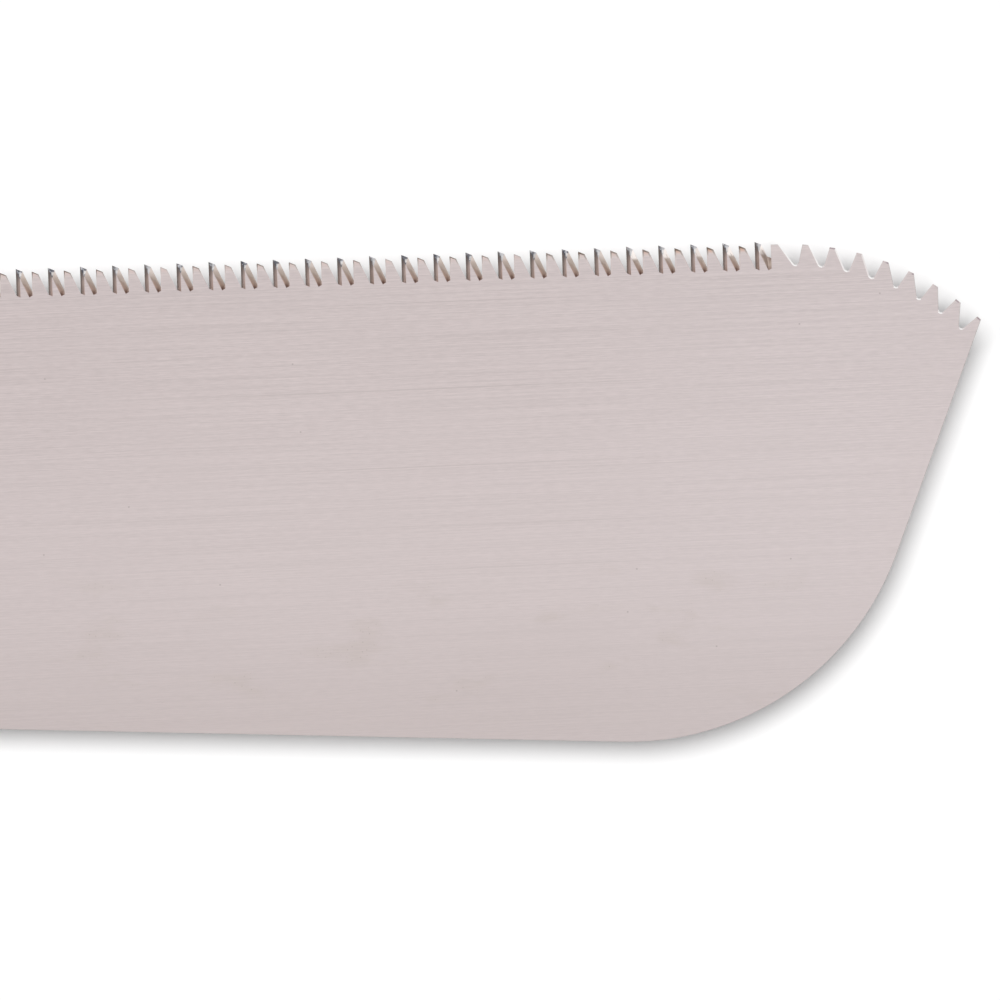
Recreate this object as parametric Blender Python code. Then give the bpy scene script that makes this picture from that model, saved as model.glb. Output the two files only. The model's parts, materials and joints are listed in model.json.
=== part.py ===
"""Japanese crosscut pull saw with a replaceable blade.

The saw lies flat, as on a bench: the toe points along +X, the teeth face +Y and +Z is up, square to the
plate. Lengths are metres. In the saw's own layout X is zero at the front end of the wooden handle, Y is
zero on the handle's axis and Z is zero in the middle of the plate. One empty then moves the whole saw, so
that the middle of its underside stands at the world's origin.
"""

import math

import bmesh
import bpy
from mathutils import Matrix, Vector

MM = 0.001
CLEARANCE = 0.3 * MM          # between pieces that touch
SHARP_ANGLE = math.radians(32)  # edges at least this sharp aren't shaded smooth

# Plate of the blade
PLATE_THICKNESS = 0.6 * MM
HEEL_X = 52.0 * MM            # first tooth, measured from the front of the handle
HEEL_TIPS_Y = 18.47 * MM      # tooth tips above the handle's axis, at the heel
HEEL_BACK_Y = -22.6 * MM      # back edge below the handle's axis, at the heel
TOOTH_LINE_RISE = math.radians(2.1)
BACK_FALL = math.radians(1.16)
TOE_LEAN = math.radians(19.8)
TOE_CORNER_RADIUS = 31.0 * MM
HEEL_LAND = 3.0 * MM          # plain edge before the first tooth
HEEL_FILLET = 6.0 * MM
HEEL_CORNER_RADIUS = 3.0 * MM
ARC_STEPS = 6
TOE_CORNER_STEPS = 24

# Crosscut teeth: two flanks and a top, all bevelled, facing up and down by turns
TOOTH_COUNT = 138
TOOTH_PITCH = 1.75 * MM
TOP_RUN = 0.57 * MM           # from the pull flank to the back flank, at tip height, on the wide face
TOP_SLOPE = 0.43
FLANK_SLOPE = 0.455           # back flank, run over height
PULL_FLEAM = 0.43 * MM        # shift of the pull flank between the two faces of the plate
BACK_FLEAM = 0.61 * MM
NARROW_TOP = 0.04 * MM        # what the three bevels leave of the top on the narrow face
LOW_TOOTH = 0.36 * MM         # how much lower the teeth stand whose bevels face down
GULLET_FLOOR = 0.4 * MM
GULLET_TILT = 0.2 * MM        # how much deeper a floor is beside the tooth that is narrow on that face
TOOTH_SET = 0.16 * MM
SET_HEIGHT = 3.0 * MM         # height over which a tooth is bent to its set

# Plain teeth round the nose, for starting a cut
NOSE_TEETH = 8
NOSE_PITCH = 3.0 * MM
NOSE_RADIUS = 30.9 * MM
NOSE_DROP = 0.365 * MM        # below the line of the crosscut tips
NOSE_FIRST_FLAT = 0.75 * MM
NOSE_TIP_FLAT = 0.62 * MM
NOSE_END_FLAT = 0.2 * MM
NOSE_GULLET_SHARE = 0.75      # place of a gullet between two tips
NOSE_GULLET_DEPTH = 2.65 * MM
NOSE_GULLET_RADIUS = 0.33 * MM
NOSE_ARC_STEPS = 4

# Forked tang
TANG_WIDTH = 17.5 * MM
TANG_END_X = -12.0 * MM
FORK_LEAD_IN = 1.0 * MM
FORK_STEPS = 10

# Folded steel socket that holds the tang
SOCKET_SHEET = 1.2 * MM
SOCKET_FRONT_X = 28.0 * MM
SOCKET_REAR_X = -46.0 * MM
SOCKET_CORNER_RADIUS = 5.0 * MM
FOLD_SHARE = 1 / 3            # of the slit's half, from the tang's edge to the middle of the fold
FOLD_STEPS = 8
HOLE_SIDES = 24

# Clamp
SCREW_TO_FRONT = 13.0 * MM    # from the screw to the socket's front edge
SHANK_DIAMETER = 4.8 * MM
SHANK_CHAMFER = 0.6 * MM
SHANK_END = 0.7 * MM          # beyond the nut
HEAD_DIAMETER = 14.0 * MM
HEAD_HEIGHT = 4.5 * MM
HEAD_CHAMFER = 0.7 * MM
KNURL_COUNT = 24
KNURL_DEPTH = 0.45 * MM
COIN_SLOT_WIDTH = 1.8 * MM
COIN_SLOT_DEPTH = 1.7 * MM
WASHER_DIAMETER = 11.0 * MM
WASHER_THICKNESS = 1.0 * MM
WASHER_SIDES = 32
LOCK_WASHER_DIAMETER = 9.2 * MM
LOCK_WASHER_THICKNESS = 1.0 * MM
LOCK_WASHER_RISE = 0.25 * MM
LOCK_WASHER_GAP = math.radians(14.0)
LOCK_WASHER_STEPS = 28
NUT_ACROSS_FLATS = 8.0 * MM
NUT_HEIGHT = 4.0 * MM
NUT_CHAMFER = 0.4 * MM
GUIDE_PIN_TO_END = 7.0 * MM   # from the guide pin to the tang's end

# Handle
HANDLE_LENGTH = 300.0 * MM
WOOD_SIDE_WALL = 1.25 * MM    # wood between the socket's fold and the binding
BUTT_FLARE = 1.4 * MM
HALF_THICKNESS = 11.0 * MM
SECTION_RADIUS = 9.0 * MM
SECTION_STEPS = 5
WOOD_INSET = 0.3 * MM         # bare wood below the ferrule and the cap
FLARE_STATIONS = 6
WOOD_CHAMFER = 0.5 * MM

# Ferrule, butt cap and the pins across the handle
FERRULE_LENGTH = 24.0 * MM
FERRULE_WALL = 1.0 * MM
FERRULE_FACE = 1.2 * MM
FERRULE_ROUNDING = 0.8 * MM
CAP_DEPTH = 14.0 * MM
CAP_WALL = 1.4 * MM
CAP_FACE = 2.0 * MM
CAP_ROUNDING = 1.6 * MM
ROUNDING_STEPS = 3
RIVET_DIAMETER = 3.0 * MM
RIVET_TO_FERRULE_END = 5.5 * MM
RIVET_TO_SOCKET_END = 8.0 * MM
CAP_PIN_DIAMETER = 2.0 * MM
CAP_PIN_LENGTH = 8.0 * MM
PIN_SINK = 0.1 * MM           # pin ends below the surface around them
PIN_CHAMFER = 0.2 * MM
PIN_SIDES = 16
DOWEL_DIAMETER = 6.0 * MM
DOWEL_LENGTH = 11.0 * MM
DOWEL_SIDES = 20
DOWEL_TO_FRONT = 95.0 * MM
DOWEL_TO_BUTT = 100.0 * MM

# Rattan binding, two equal lengths of cane that meet end to end under the handle
CANE_WIDTH = 4.6 * MM
CANE_THICKNESS = 1.0 * MM
CANE_GAP = 0.5 * MM           # between one turn and the next
WRAP_INSET = 0.8 * MM         # cane below the ferrule and the cap
WRAP_MARGIN = 1.0 * MM        # from the ferrule to the first turn's edge
BARE_BUTT = 30.0 * MM         # least length of bare wood between the binding and the cap
SPLICE_GAP = 1.0 * MM
TACK_OFFSET = 3.2 * MM        # from the middle of the underside to a tack
TACK_HEAD_DIAMETER = 2.4 * MM
TACK_HEAD_HEIGHT = 0.4 * MM
TACK_SEAT = 0.2 * MM
TACK_SHANK_DIAMETER = 1.1 * MM
TACK_LENGTH = 6.5 * MM
TACK_POINT_RADIUS = 0.14 * MM
TACK_SIDES = 12

# Sizes that follow from those above
HALF_PLATE = PLATE_THICKNESS / 2
TANG_HALF = TANG_WIDTH / 2
SHANK_RADIUS = SHANK_DIAMETER / 2
SLOT_RADIUS = SHANK_RADIUS + CLEARANCE
SLIT_HALF = HALF_PLATE + CLEARANCE
SOCKET_HALF = SLIT_HALF + SOCKET_SHEET
FOLD_Y = -TANG_HALF + SLIT_HALF * FOLD_SHARE
SOCKET_TOP_Y = TANG_HALF + CLEARANCE
SCREW_X = SOCKET_FRONT_X - SCREW_TO_FRONT
GUIDE_PIN_X = TANG_END_X + GUIDE_PIN_TO_END
WASHER_BASE = SOCKET_HALF + CLEARANCE
LOCK_WASHER_BASE = WASHER_BASE + WASHER_THICKNESS + CLEARANCE
HEAD_BASE = LOCK_WASHER_BASE + LOCK_WASHER_THICKNESS + LOCK_WASHER_RISE + CLEARANCE
NUT_TOP = -SOCKET_HALF - CLEARANCE
FERRULE_INSET = FERRULE_WALL + CLEARANCE
SEAT_INSET = WRAP_INSET + CANE_THICKNESS + CLEARANCE
CAP_INSET = CAP_WALL + CLEARANCE
GRIP_HALF_WIDTH = SOCKET_HALF - FOLD_Y + CLEARANCE + WOOD_SIDE_WALL + SEAT_INSET
BUTT_HALF_WIDTH = GRIP_HALF_WIDTH + BUTT_FLARE
CAP_FRONT_X = -HANDLE_LENGTH + CAP_DEPTH
BUTT_X = -HANDLE_LENGTH - CLEARANCE - CAP_FACE
RIVET_FRONT_X = -FERRULE_LENGTH + RIVET_TO_FERRULE_END
RIVET_REAR_X = SOCKET_REAR_X + RIVET_TO_SOCKET_END
DOWEL_XS = (-DOWEL_TO_FRONT, -HANDLE_LENGTH + DOWEL_TO_BUTT)
WRAP_PITCH = CANE_WIDTH + CANE_GAP
WRAP_ROOM = HANDLE_LENGTH - CAP_DEPTH - BARE_BUTT - FERRULE_LENGTH - 2 * WRAP_MARGIN - CANE_WIDTH
WRAP_TURNS = int(WRAP_ROOM / 2 / WRAP_PITCH)
WRAP_START_X = -FERRULE_LENGTH - WRAP_MARGIN - CANE_WIDTH / 2
WRAP_LENGTH = WRAP_TURNS * WRAP_PITCH
SEAT_END_X = WRAP_START_X - 2 * WRAP_LENGTH - CANE_WIDTH / 2 - WRAP_MARGIN
LINE_DIRECTION = Vector((math.cos(TOOTH_LINE_RISE), math.sin(TOOTH_LINE_RISE)))
LINE_NORMAL = Vector((-math.sin(TOOTH_LINE_RISE), math.cos(TOOTH_LINE_RISE)))
NARROW_CORNER = (PULL_FLEAM + NARROW_TOP) * (1 - FLANK_SLOPE * TOP_SLOPE)
TOP_FLEAM = (NARROW_CORNER - TOP_RUN + BACK_FLEAM) / FLANK_SLOPE


def clear_scene():
    for old in list(bpy.data.objects):
        bpy.data.objects.remove(old, do_unlink=True)


def finish(name, colour, roughness, metallic):
    """A plain Principled material."""
    made = bpy.data.materials.new(name)
    made.use_nodes = True
    shader = made.node_tree.nodes["Principled BSDF"]
    shader.inputs["Base Color"].default_value = (*colour, 1.0)
    shader.inputs["Roughness"].default_value = roughness
    shader.inputs["Metallic"].default_value = metallic
    return made


# Small tools for making meshes


def arc(centre, radius, start, end, steps):
    """Points of an arc in a plane, both ends included."""
    angles = [start + (end - start) * i / steps for i in range(steps + 1)]
    return [Vector(centre) + radius * Vector((math.cos(a), math.sin(a))) for a in angles]


def rounded(before, corner, after, radius, steps):
    """The corner of an outline as a tangent arc."""
    to_before = (before - corner).normalized()
    to_after = (after - corner).normalized()
    half_angle = to_before.angle(to_after) / 2
    centre = corner + (to_before + to_after).normalized() * (radius / math.sin(half_angle))
    first = corner + to_before * (radius / math.tan(half_angle)) - centre
    turn = first.angle_signed(corner + to_after * (radius / math.tan(half_angle)) - centre)
    return [centre + Matrix.Rotation(-turn * i / steps, 2) @ first for i in range(steps + 1)]


def prism(outline, low, high):
    """An outline in X and Y, extruded along Z."""
    bm = bmesh.new()
    floor = bm.faces.new([bm.verts.new((x, y, low)) for x, y in outline])
    made = bmesh.ops.extrude_face_region(bm, geom=[floor])["geom"]
    lifted = [v for v in made if isinstance(v, bmesh.types.BMVert)]
    bmesh.ops.translate(bm, verts=lifted, vec=(0, 0, high - low))
    return bm


def loft(rings, closed=False):
    """A skin over rings of points, capped at its ends or, if closed, joined end to end."""
    bm = bmesh.new()
    loops = [[bm.verts.new(point) for point in ring] for ring in rings]
    count = len(loops[0])
    pairs = list(zip(loops, loops[1:]))
    if closed:
        pairs.append((loops[-1], loops[0]))
    else:
        bm.faces.new(loops[0])
        bm.faces.new(loops[-1])
    for near, far in pairs:
        for i in range(count):
            j = (i + 1) % count
            bm.faces.new((near[i], near[j], far[j], far[i]))
    return bm


def circle(radius, height, count):
    turns = [2 * math.pi * i / count for i in range(count)]
    return [Vector((radius * math.cos(a), radius * math.sin(a), height)) for a in turns]


def turned(profile, count, closed=False):
    """A profile of radius and height pairs, turned round Z."""
    return loft([circle(radius, height, count) for radius, height in profile], closed)


def pin(radius, low, high, count=PIN_SIDES):
    """A straight pin along Z with broken edges."""
    inner = radius - PIN_CHAMFER
    ends = [(inner, low), (radius, low + PIN_CHAMFER), (radius, high - PIN_CHAMFER), (inner, high)]
    return turned(ends, count)


def rod(radius, low, high, count=HOLE_SIDES):
    return turned([(radius, low), (radius, high)], count)


def block(low, high):
    """A box between two corners."""
    size = Vector(high) - Vector(low)
    middle = (Vector(high) + Vector(low)) / 2
    bm = bmesh.new()
    bmesh.ops.create_cube(bm, size=1.0, matrix=Matrix.Translation(middle) @ Matrix.Diagonal((*size, 1.0)))
    return bm


def add_piece(name, bm, material, at=(0.0, 0.0, 0.0)):
    """One named object under the saw's empty, its faces pointing out."""
    bmesh.ops.recalc_face_normals(bm, faces=bm.faces)
    mesh = bpy.data.meshes.new(name)
    bm.to_mesh(mesh)
    bm.free()
    mesh.shade_smooth()
    mesh.set_sharp_from_angle(angle=SHARP_ANGLE)
    mesh.materials.append(material)
    piece = bpy.data.objects.new(name, mesh)
    piece.location = at
    piece.parent = saw
    bpy.context.scene.collection.objects.link(piece)
    return piece


def add_cutter(name, bm, at=(0.0, 0.0, 0.0)):
    cutter = add_piece(name, bm, cutter_finish, at)
    cutter.hide_render = True
    cutter.display_type = "WIRE"
    return cutter


def carve(piece, cutter, operation="DIFFERENCE"):
    carving = piece.modifiers.new(cutter.name, "BOOLEAN")
    carving.object = cutter
    carving.operation = operation
    carving.solver = "EXACT"


# Blade


def on_tooth_line(along, out):
    """A point beside the line of the tall tips: how far past the heel, and how far outside the line."""
    heel = Vector((HEEL_X, HEEL_TIPS_Y))
    return heel + LINE_DIRECTION * along + LINE_NORMAL * out


def bevels_up(index):
    """Whether a tooth's bevels face +Z. The last tooth before the nose does, then every second one."""
    return (TOOTH_COUNT - index) % 2 == 1


def narrow_on(index, face):
    """Whether one face of the plate is the one that a tooth's bevels cut back."""
    return index < TOOTH_COUNT and bevels_up(index) == (face > 0)


def tooth_lines(index, face):
    """Where a tooth's pull flank, back flank and top lie on one face of the plate, at tip height."""
    base = index * TOOTH_PITCH
    if index == TOOTH_COUNT:
        return base, base, 0.0
    narrow = narrow_on(index, face)
    drop = 0.0 if bevels_up(index) else LOW_TOOTH
    pull = base + (PULL_FLEAM if narrow else 0.0)
    back = base + TOP_RUN - FLANK_SLOPE * drop - (BACK_FLEAM if narrow else 0.0)
    top = TOP_SLOPE * base - drop - (TOP_FLEAM if narrow else 0.0)
    return pull, back, top


def tooth_crown(index, face):
    """The tip, and the corner where the top meets the back flank."""
    pull, back, top = tooth_lines(index, face)
    tip = (pull, top - TOP_SLOPE * pull)
    corner_out = (top - TOP_SLOPE * back) / (1 - TOP_SLOPE * FLANK_SLOPE)
    corner = (back - FLANK_SLOPE * corner_out, corner_out)
    return tip, corner


def gullet_floor(index, face):
    """The two ends of the floor between a tooth and the next one."""
    back = tooth_lines(index, face)[1]
    next_pull = tooth_lines(index + 1, face)[0]
    out = (GULLET_FLOOR - next_pull + back) / FLANK_SLOPE
    tilt = GULLET_TILT / 2 if narrow_on(index, face) else -GULLET_TILT / 2
    return (back - FLANK_SLOPE * (out - tilt), out - tilt), (next_pull, out + tilt)


def nose_centre():
    start = TOOTH_COUNT * TOOTH_PITCH + NOSE_FIRST_FLAT
    return on_tooth_line(start, -NOSE_DROP - NOSE_RADIUS)


def on_nose(distance, depth):
    """A point on the nose: how far round the arc of tips, and how deep inside it."""
    turn = distance / NOSE_RADIUS
    outward = LINE_NORMAL * math.cos(turn) + LINE_DIRECTION * math.sin(turn)
    return nose_centre() + outward * (NOSE_RADIUS - depth)


def nose_outline():
    """From the first plain tooth, next to the crosscut teeth, to the toe's point."""
    points = [on_tooth_line(TOOTH_COUNT * TOOTH_PITCH, -NOSE_DROP), on_nose(0.0, 0.0)]
    half_tip = NOSE_TIP_FLAT / 2
    for number in range(1, NOSE_TEETH + 1):
        tip = number * NOSE_PITCH
        trailing = NOSE_END_FLAT if number == NOSE_TEETH else half_tip
        gullet = on_nose(tip - (1 - NOSE_GULLET_SHARE) * NOSE_PITCH, NOSE_GULLET_DEPTH)
        leading = on_nose(tip - half_tip, 0.0)
        points += rounded(points[-1], gullet, leading, NOSE_GULLET_RADIUS, NOSE_ARC_STEPS)
        points += [leading, on_nose(tip + trailing, 0.0)]
    return points


def back_line(x):
    return Vector((x, HEEL_BACK_Y - (x - HEEL_X) * math.tan(BACK_FALL)))


def toe_outline(toe_point):
    """The rounded corner between the leaning toe and the back."""
    lean = math.tan(TOE_LEAN)
    fall = math.tan(BACK_FALL)
    reach = toe_point.x - HEEL_X
    drop = (toe_point.y - HEEL_BACK_Y + reach * fall) / (1 + lean * fall)
    corner = toe_point + Vector((-lean * drop, -drop))
    return rounded(toe_point, corner, back_line(HEEL_X), TOE_CORNER_RADIUS, TOE_CORNER_STEPS)


def heel_and_tang_outline():
    """From the back's heel corner round the forked tang to the first tooth."""
    edge_x = HEEL_X - HEEL_LAND
    back_corner = back_line(edge_x)
    under_neck = Vector((edge_x, -TANG_HALF))
    over_neck = Vector((edge_x, TANG_HALF))
    land = on_tooth_line(-HEEL_LAND, -SET_HEIGHT)
    rear_low = Vector((TANG_END_X, -TANG_HALF))
    rear_high = Vector((TANG_END_X, TANG_HALF))
    points = rounded(back_line(HEEL_X), back_corner, under_neck, HEEL_CORNER_RADIUS, ARC_STEPS)
    points += rounded(back_corner, under_neck, rear_low, HEEL_FILLET, ARC_STEPS)
    points += prong_end(rear_low, 1)
    points += arc((SCREW_X, 0.0), SLOT_RADIUS, -math.pi / 2, math.pi / 2, FORK_STEPS)
    points += reversed(prong_end(rear_high, -1))
    points += rounded(rear_high, over_neck, land, HEEL_FILLET, ARC_STEPS)
    points.append(land)
    return points


def prong_end(corner, towards_slot):
    """The end of one prong, its two corners cut off so that it finds the socket and the pin."""
    slot_y = -towards_slot * SLOT_RADIUS
    lead = Vector((FORK_LEAD_IN, 0.0))
    side = Vector((0.0, towards_slot * FORK_LEAD_IN))
    inner = Vector((corner.x, slot_y))
    return [corner + lead, corner + side, inner - side, inner + lead]


def make_blade(material):
    """Plate, forked tang, crosscut teeth bent to their set, and plain nose teeth, as one solid."""
    bm = bmesh.new()
    plain = nose_outline()
    plain += toe_outline(plain[-1])
    plain += heel_and_tang_outline()
    edges = {}
    crowns = {}
    for face in (1, -1):
        z = face * HALF_PLATE
        heel_root = (tooth_lines(0, face)[0], -SET_HEIGHT)
        floors = [gullet_floor(i, face) for i in range(TOOTH_COUNT)]
        roots = [heel_root] + [end for floor in floors for end in floor]
        outline = [on_tooth_line(*root) for root in roots] + plain
        edges[face] = [bm.verts.new((p.x, p.y, z)) for p in outline]
        crowns[face] = []
        for i in range(TOOTH_COUNT):
            (left, left_out), (right, right_out) = roots[2 * i], roots[2 * i + 1]
            bend = -TOOTH_SET if bevels_up(i) else TOOTH_SET
            crown = []
            for along, out in tooth_crown(i, face):
                root_out = left_out + (right_out - left_out) * (along - left) / (right - left)
                spot = on_tooth_line(along, out)
                crown.append(bm.verts.new((spot.x, spot.y, z + bend * (out - root_out) / SET_HEIGHT)))
            crowns[face].append(crown)
        bm.faces.new(edges[face])
    for i in range(TOOTH_COUNT):
        add_tooth(bm, edges, crowns, i)
    count = len(edges[1])
    for i in range(2 * TOOTH_COUNT, count):
        j = (i + 1) % count
        bm.faces.new((edges[1][i], edges[1][j], edges[-1][j], edges[-1][i]))
    return add_piece("blade", bm, material)


def add_tooth(bm, edges, crowns, index):
    """Both faces of one tooth, its bevels, and the floor of the gullet after it."""
    sides = {}
    for face in (1, -1):
        root = edges[face][2 * index:2 * index + 2]
        sides[face] = [root[0], *crowns[face][index], root[1]]
        bm.faces.new(sides[face])
    for k in range(3):
        bm.faces.new((sides[1][k], sides[1][k + 1], sides[-1][k + 1], sides[-1][k]))
    near = 2 * index + 1
    far = near + 1
    bm.faces.new((edges[1][near], edges[1][far], edges[-1][far], edges[-1][near]))


# Socket and clamp


def make_socket(material):
    """A strip folded over along the tang's lower edge, with holes for the screw, the nut side and the pins."""
    outer = arc((FOLD_Y, 0.0), SOCKET_HALF, math.pi / 2, 3 * math.pi / 2, FOLD_STEPS)
    inner = arc((FOLD_Y, 0.0), SLIT_HALF, 3 * math.pi / 2, math.pi / 2, FOLD_STEPS)
    ends = [(SOCKET_TOP_Y, -SOCKET_HALF), (SOCKET_TOP_Y, -SLIT_HALF)]
    far_ends = [(SOCKET_TOP_Y, SLIT_HALF), (SOCKET_TOP_Y, SOCKET_HALF)]
    section = [*outer, *ends, *inner, *far_ends]
    stations = (SOCKET_REAR_X, SOCKET_FRONT_X)
    socket = add_piece("blade_socket", loft([[(x, y, z) for y, z in section] for x in stations]), material)

    beyond = SOCKET_CORNER_RADIUS
    low_y = FOLD_Y - SOCKET_HALF
    front_low = Vector((SOCKET_FRONT_X - CLEARANCE, low_y))
    front_high = Vector((SOCKET_FRONT_X - CLEARANCE, SOCKET_TOP_Y))
    rear_low = Vector((SOCKET_REAR_X - beyond, low_y))
    rear_high = Vector((SOCKET_REAR_X - beyond, SOCKET_TOP_Y))
    outline = rounded(rear_low, front_low, front_high, SOCKET_CORNER_RADIUS, ARC_STEPS)
    outline += rounded(front_low, front_high, rear_high, SOCKET_CORNER_RADIUS, ARC_STEPS)
    outline += [rear_high + Vector((0.0, beyond)), rear_low - Vector((0.0, beyond))]
    front_shape = add_cutter("socket_front_shape", prism(outline, -2 * SOCKET_HALF, 2 * SOCKET_HALF))
    carve(socket, front_shape, "INTERSECT")
    for name, x, radius in (
        ("screw_hole", SCREW_X, SHANK_RADIUS),
        ("guide_pin_hole", GUIDE_PIN_X, SHANK_RADIUS),
        ("front_rivet_hole", RIVET_FRONT_X, RIVET_DIAMETER / 2),
        ("rear_rivet_hole", RIVET_REAR_X, RIVET_DIAMETER / 2),
    ):
        hole = rod(radius + CLEARANCE, -2 * SOCKET_HALF, 2 * SOCKET_HALF)
        carve(socket, add_cutter("socket_" + name, hole, (x, 0.0, 0.0)))
    return socket


def make_clamp(screw_material, washer_material, nut_material):
    """Thumb screw with a coin slot, spring washer, flat washer, and the nut under the lower cheek."""
    at = (SCREW_X, 0.0, 0.0)
    count = 2 * KNURL_COUNT
    nut_end = NUT_TOP - NUT_HEIGHT
    tip = nut_end - SHANK_END
    head_top = HEAD_BASE + HEAD_HEIGHT
    rim = HEAD_DIAMETER / 2

    def knurled(radius, height):
        ring = circle(radius, height, count)
        for point in ring[1::2]:
            point.xy *= 1 - KNURL_DEPTH / radius
        return ring

    rings = [
        circle(SHANK_RADIUS - SHANK_CHAMFER, tip, count),
        circle(SHANK_RADIUS, tip + SHANK_CHAMFER, count),
        circle(SHANK_RADIUS, HEAD_BASE, count),
        circle(rim - HEAD_CHAMFER, HEAD_BASE, count),
        knurled(rim, HEAD_BASE + HEAD_CHAMFER),
        knurled(rim, head_top - HEAD_CHAMFER),
        circle(rim - HEAD_CHAMFER, head_top, count),
    ]
    screw = add_piece("clamp_screw", loft(rings), screw_material, at)
    low = (-COIN_SLOT_WIDTH / 2, -HEAD_DIAMETER, head_top - COIN_SLOT_DEPTH)
    high = (COIN_SLOT_WIDTH / 2, HEAD_DIAMETER, head_top + COIN_SLOT_DEPTH)
    carve(screw, add_cutter("coin_slot", block(low, high), at))

    hole = SHANK_RADIUS + CLEARANCE
    add_piece("clamp_washer", ring_plate(hole, WASHER_DIAMETER / 2, WASHER_BASE, WASHER_THICKNESS),
              washer_material, at)
    add_piece("lock_washer", split_ring(hole), washer_material, at)
    nut = add_piece("clamp_nut", hexagon(nut_end), nut_material, at)
    carve(nut, add_cutter("nut_bore", rod(hole, 2 * nut_end, 0.0), at))


def ring_plate(inner, outer, base, thickness):
    profile = [(inner, base), (outer, base), (outer, base + thickness), (inner, base + thickness)]
    return turned(profile, WASHER_SIDES, closed=True)


def split_ring(inner):
    """A spring washer: one turn of square wire whose ends part and stand at two heights."""
    outer = LOCK_WASHER_DIAMETER / 2
    rings = []
    for i in range(LOCK_WASHER_STEPS + 1):
        share = i / LOCK_WASHER_STEPS
        angle = LOCK_WASHER_GAP / 2 + (2 * math.pi - LOCK_WASHER_GAP) * share
        low = LOCK_WASHER_BASE + LOCK_WASHER_RISE * share
        high = low + LOCK_WASHER_THICKNESS
        section = [(inner, low), (outer, low), (outer, high), (inner, high)]
        rings.append([(r * math.cos(angle), r * math.sin(angle), z) for r, z in section])
    return loft(rings)


def hexagon(low):
    """A hexagon nut whose lower corners are turned off."""
    corner = NUT_ACROSS_FLATS / 2 / math.cos(math.pi / 6)
    outline = [point.xy for point in circle(corner, 0.0, 6)]
    nut = prism(outline, low, NUT_TOP)
    under = [edge for edge in nut.edges if all(v.co.z < low + CLEARANCE for v in edge.verts)]
    bmesh.ops.bevel(nut, geom=under, offset=NUT_CHAMFER, segments=1, affect="EDGES")
    return nut


# Handle


def section(half_width, inset):
    """The handle's rounded section in Y and Z, from the right end of its lower flat, inside its full size."""
    width = half_width - inset
    height = HALF_THICKNESS - inset
    radius = SECTION_RADIUS - inset
    points = []
    for quarter, (side, level) in enumerate(((1, -1), (1, 1), (-1, 1), (-1, -1))):
        centre = (side * (width - radius), level * (height - radius))
        start = (quarter - 1) * math.pi / 2
        points += arc(centre, radius, start, start + math.pi / 2, SECTION_STEPS)
    return points


def full_ring(x, half_width, inset):
    return [(x, y, z) for y, z in section(half_width, inset)]


def half_ring(x, half_width, inset, side):
    """The upper or lower half of the section, flat along the glue line."""
    joint = CLEARANCE / 2
    points = section(half_width, inset)
    quarter = SECTION_STEPS + 1
    curve = points[quarter:3 * quarter]
    ends = [(half_width - inset, joint), *curve, (inset - half_width, joint)]
    return [(x, y, side * z) for y, z in ends]


def wood_stations():
    """Place, half width and inset of each section along the wood, from its front end to the butt."""
    flare_start = SEAT_END_X - 2 * WOOD_CHAMFER
    flare_end = CAP_FRONT_X + CLEARANCE + WOOD_CHAMFER
    stations = [
        (0.0, GRIP_HALF_WIDTH, FERRULE_INSET + WOOD_CHAMFER),
        (-WOOD_CHAMFER, GRIP_HALF_WIDTH, FERRULE_INSET),
        (-FERRULE_LENGTH, GRIP_HALF_WIDTH, FERRULE_INSET),
        (-FERRULE_LENGTH - WOOD_CHAMFER, GRIP_HALF_WIDTH, SEAT_INSET),
        (SEAT_END_X, GRIP_HALF_WIDTH, SEAT_INSET),
        (SEAT_END_X - WOOD_CHAMFER, GRIP_HALF_WIDTH, WOOD_INSET + WOOD_CHAMFER),
    ]
    for i in range(FLARE_STATIONS + 1):
        share = i / FLARE_STATIONS
        swell = (1 - math.cos(math.pi * share)) / 2
        half_width = GRIP_HALF_WIDTH + (BUTT_HALF_WIDTH - GRIP_HALF_WIDTH) * swell
        stations.append((flare_start + (flare_end - flare_start) * share, half_width, WOOD_INSET))
    stations += [
        (CAP_FRONT_X + CLEARANCE, BUTT_HALF_WIDTH, CAP_INSET),
        (-HANDLE_LENGTH + WOOD_CHAMFER, BUTT_HALF_WIDTH, CAP_INSET),
        (-HANDLE_LENGTH, BUTT_HALF_WIDTH, CAP_INSET + WOOD_CHAMFER),
    ]
    return stations


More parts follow.
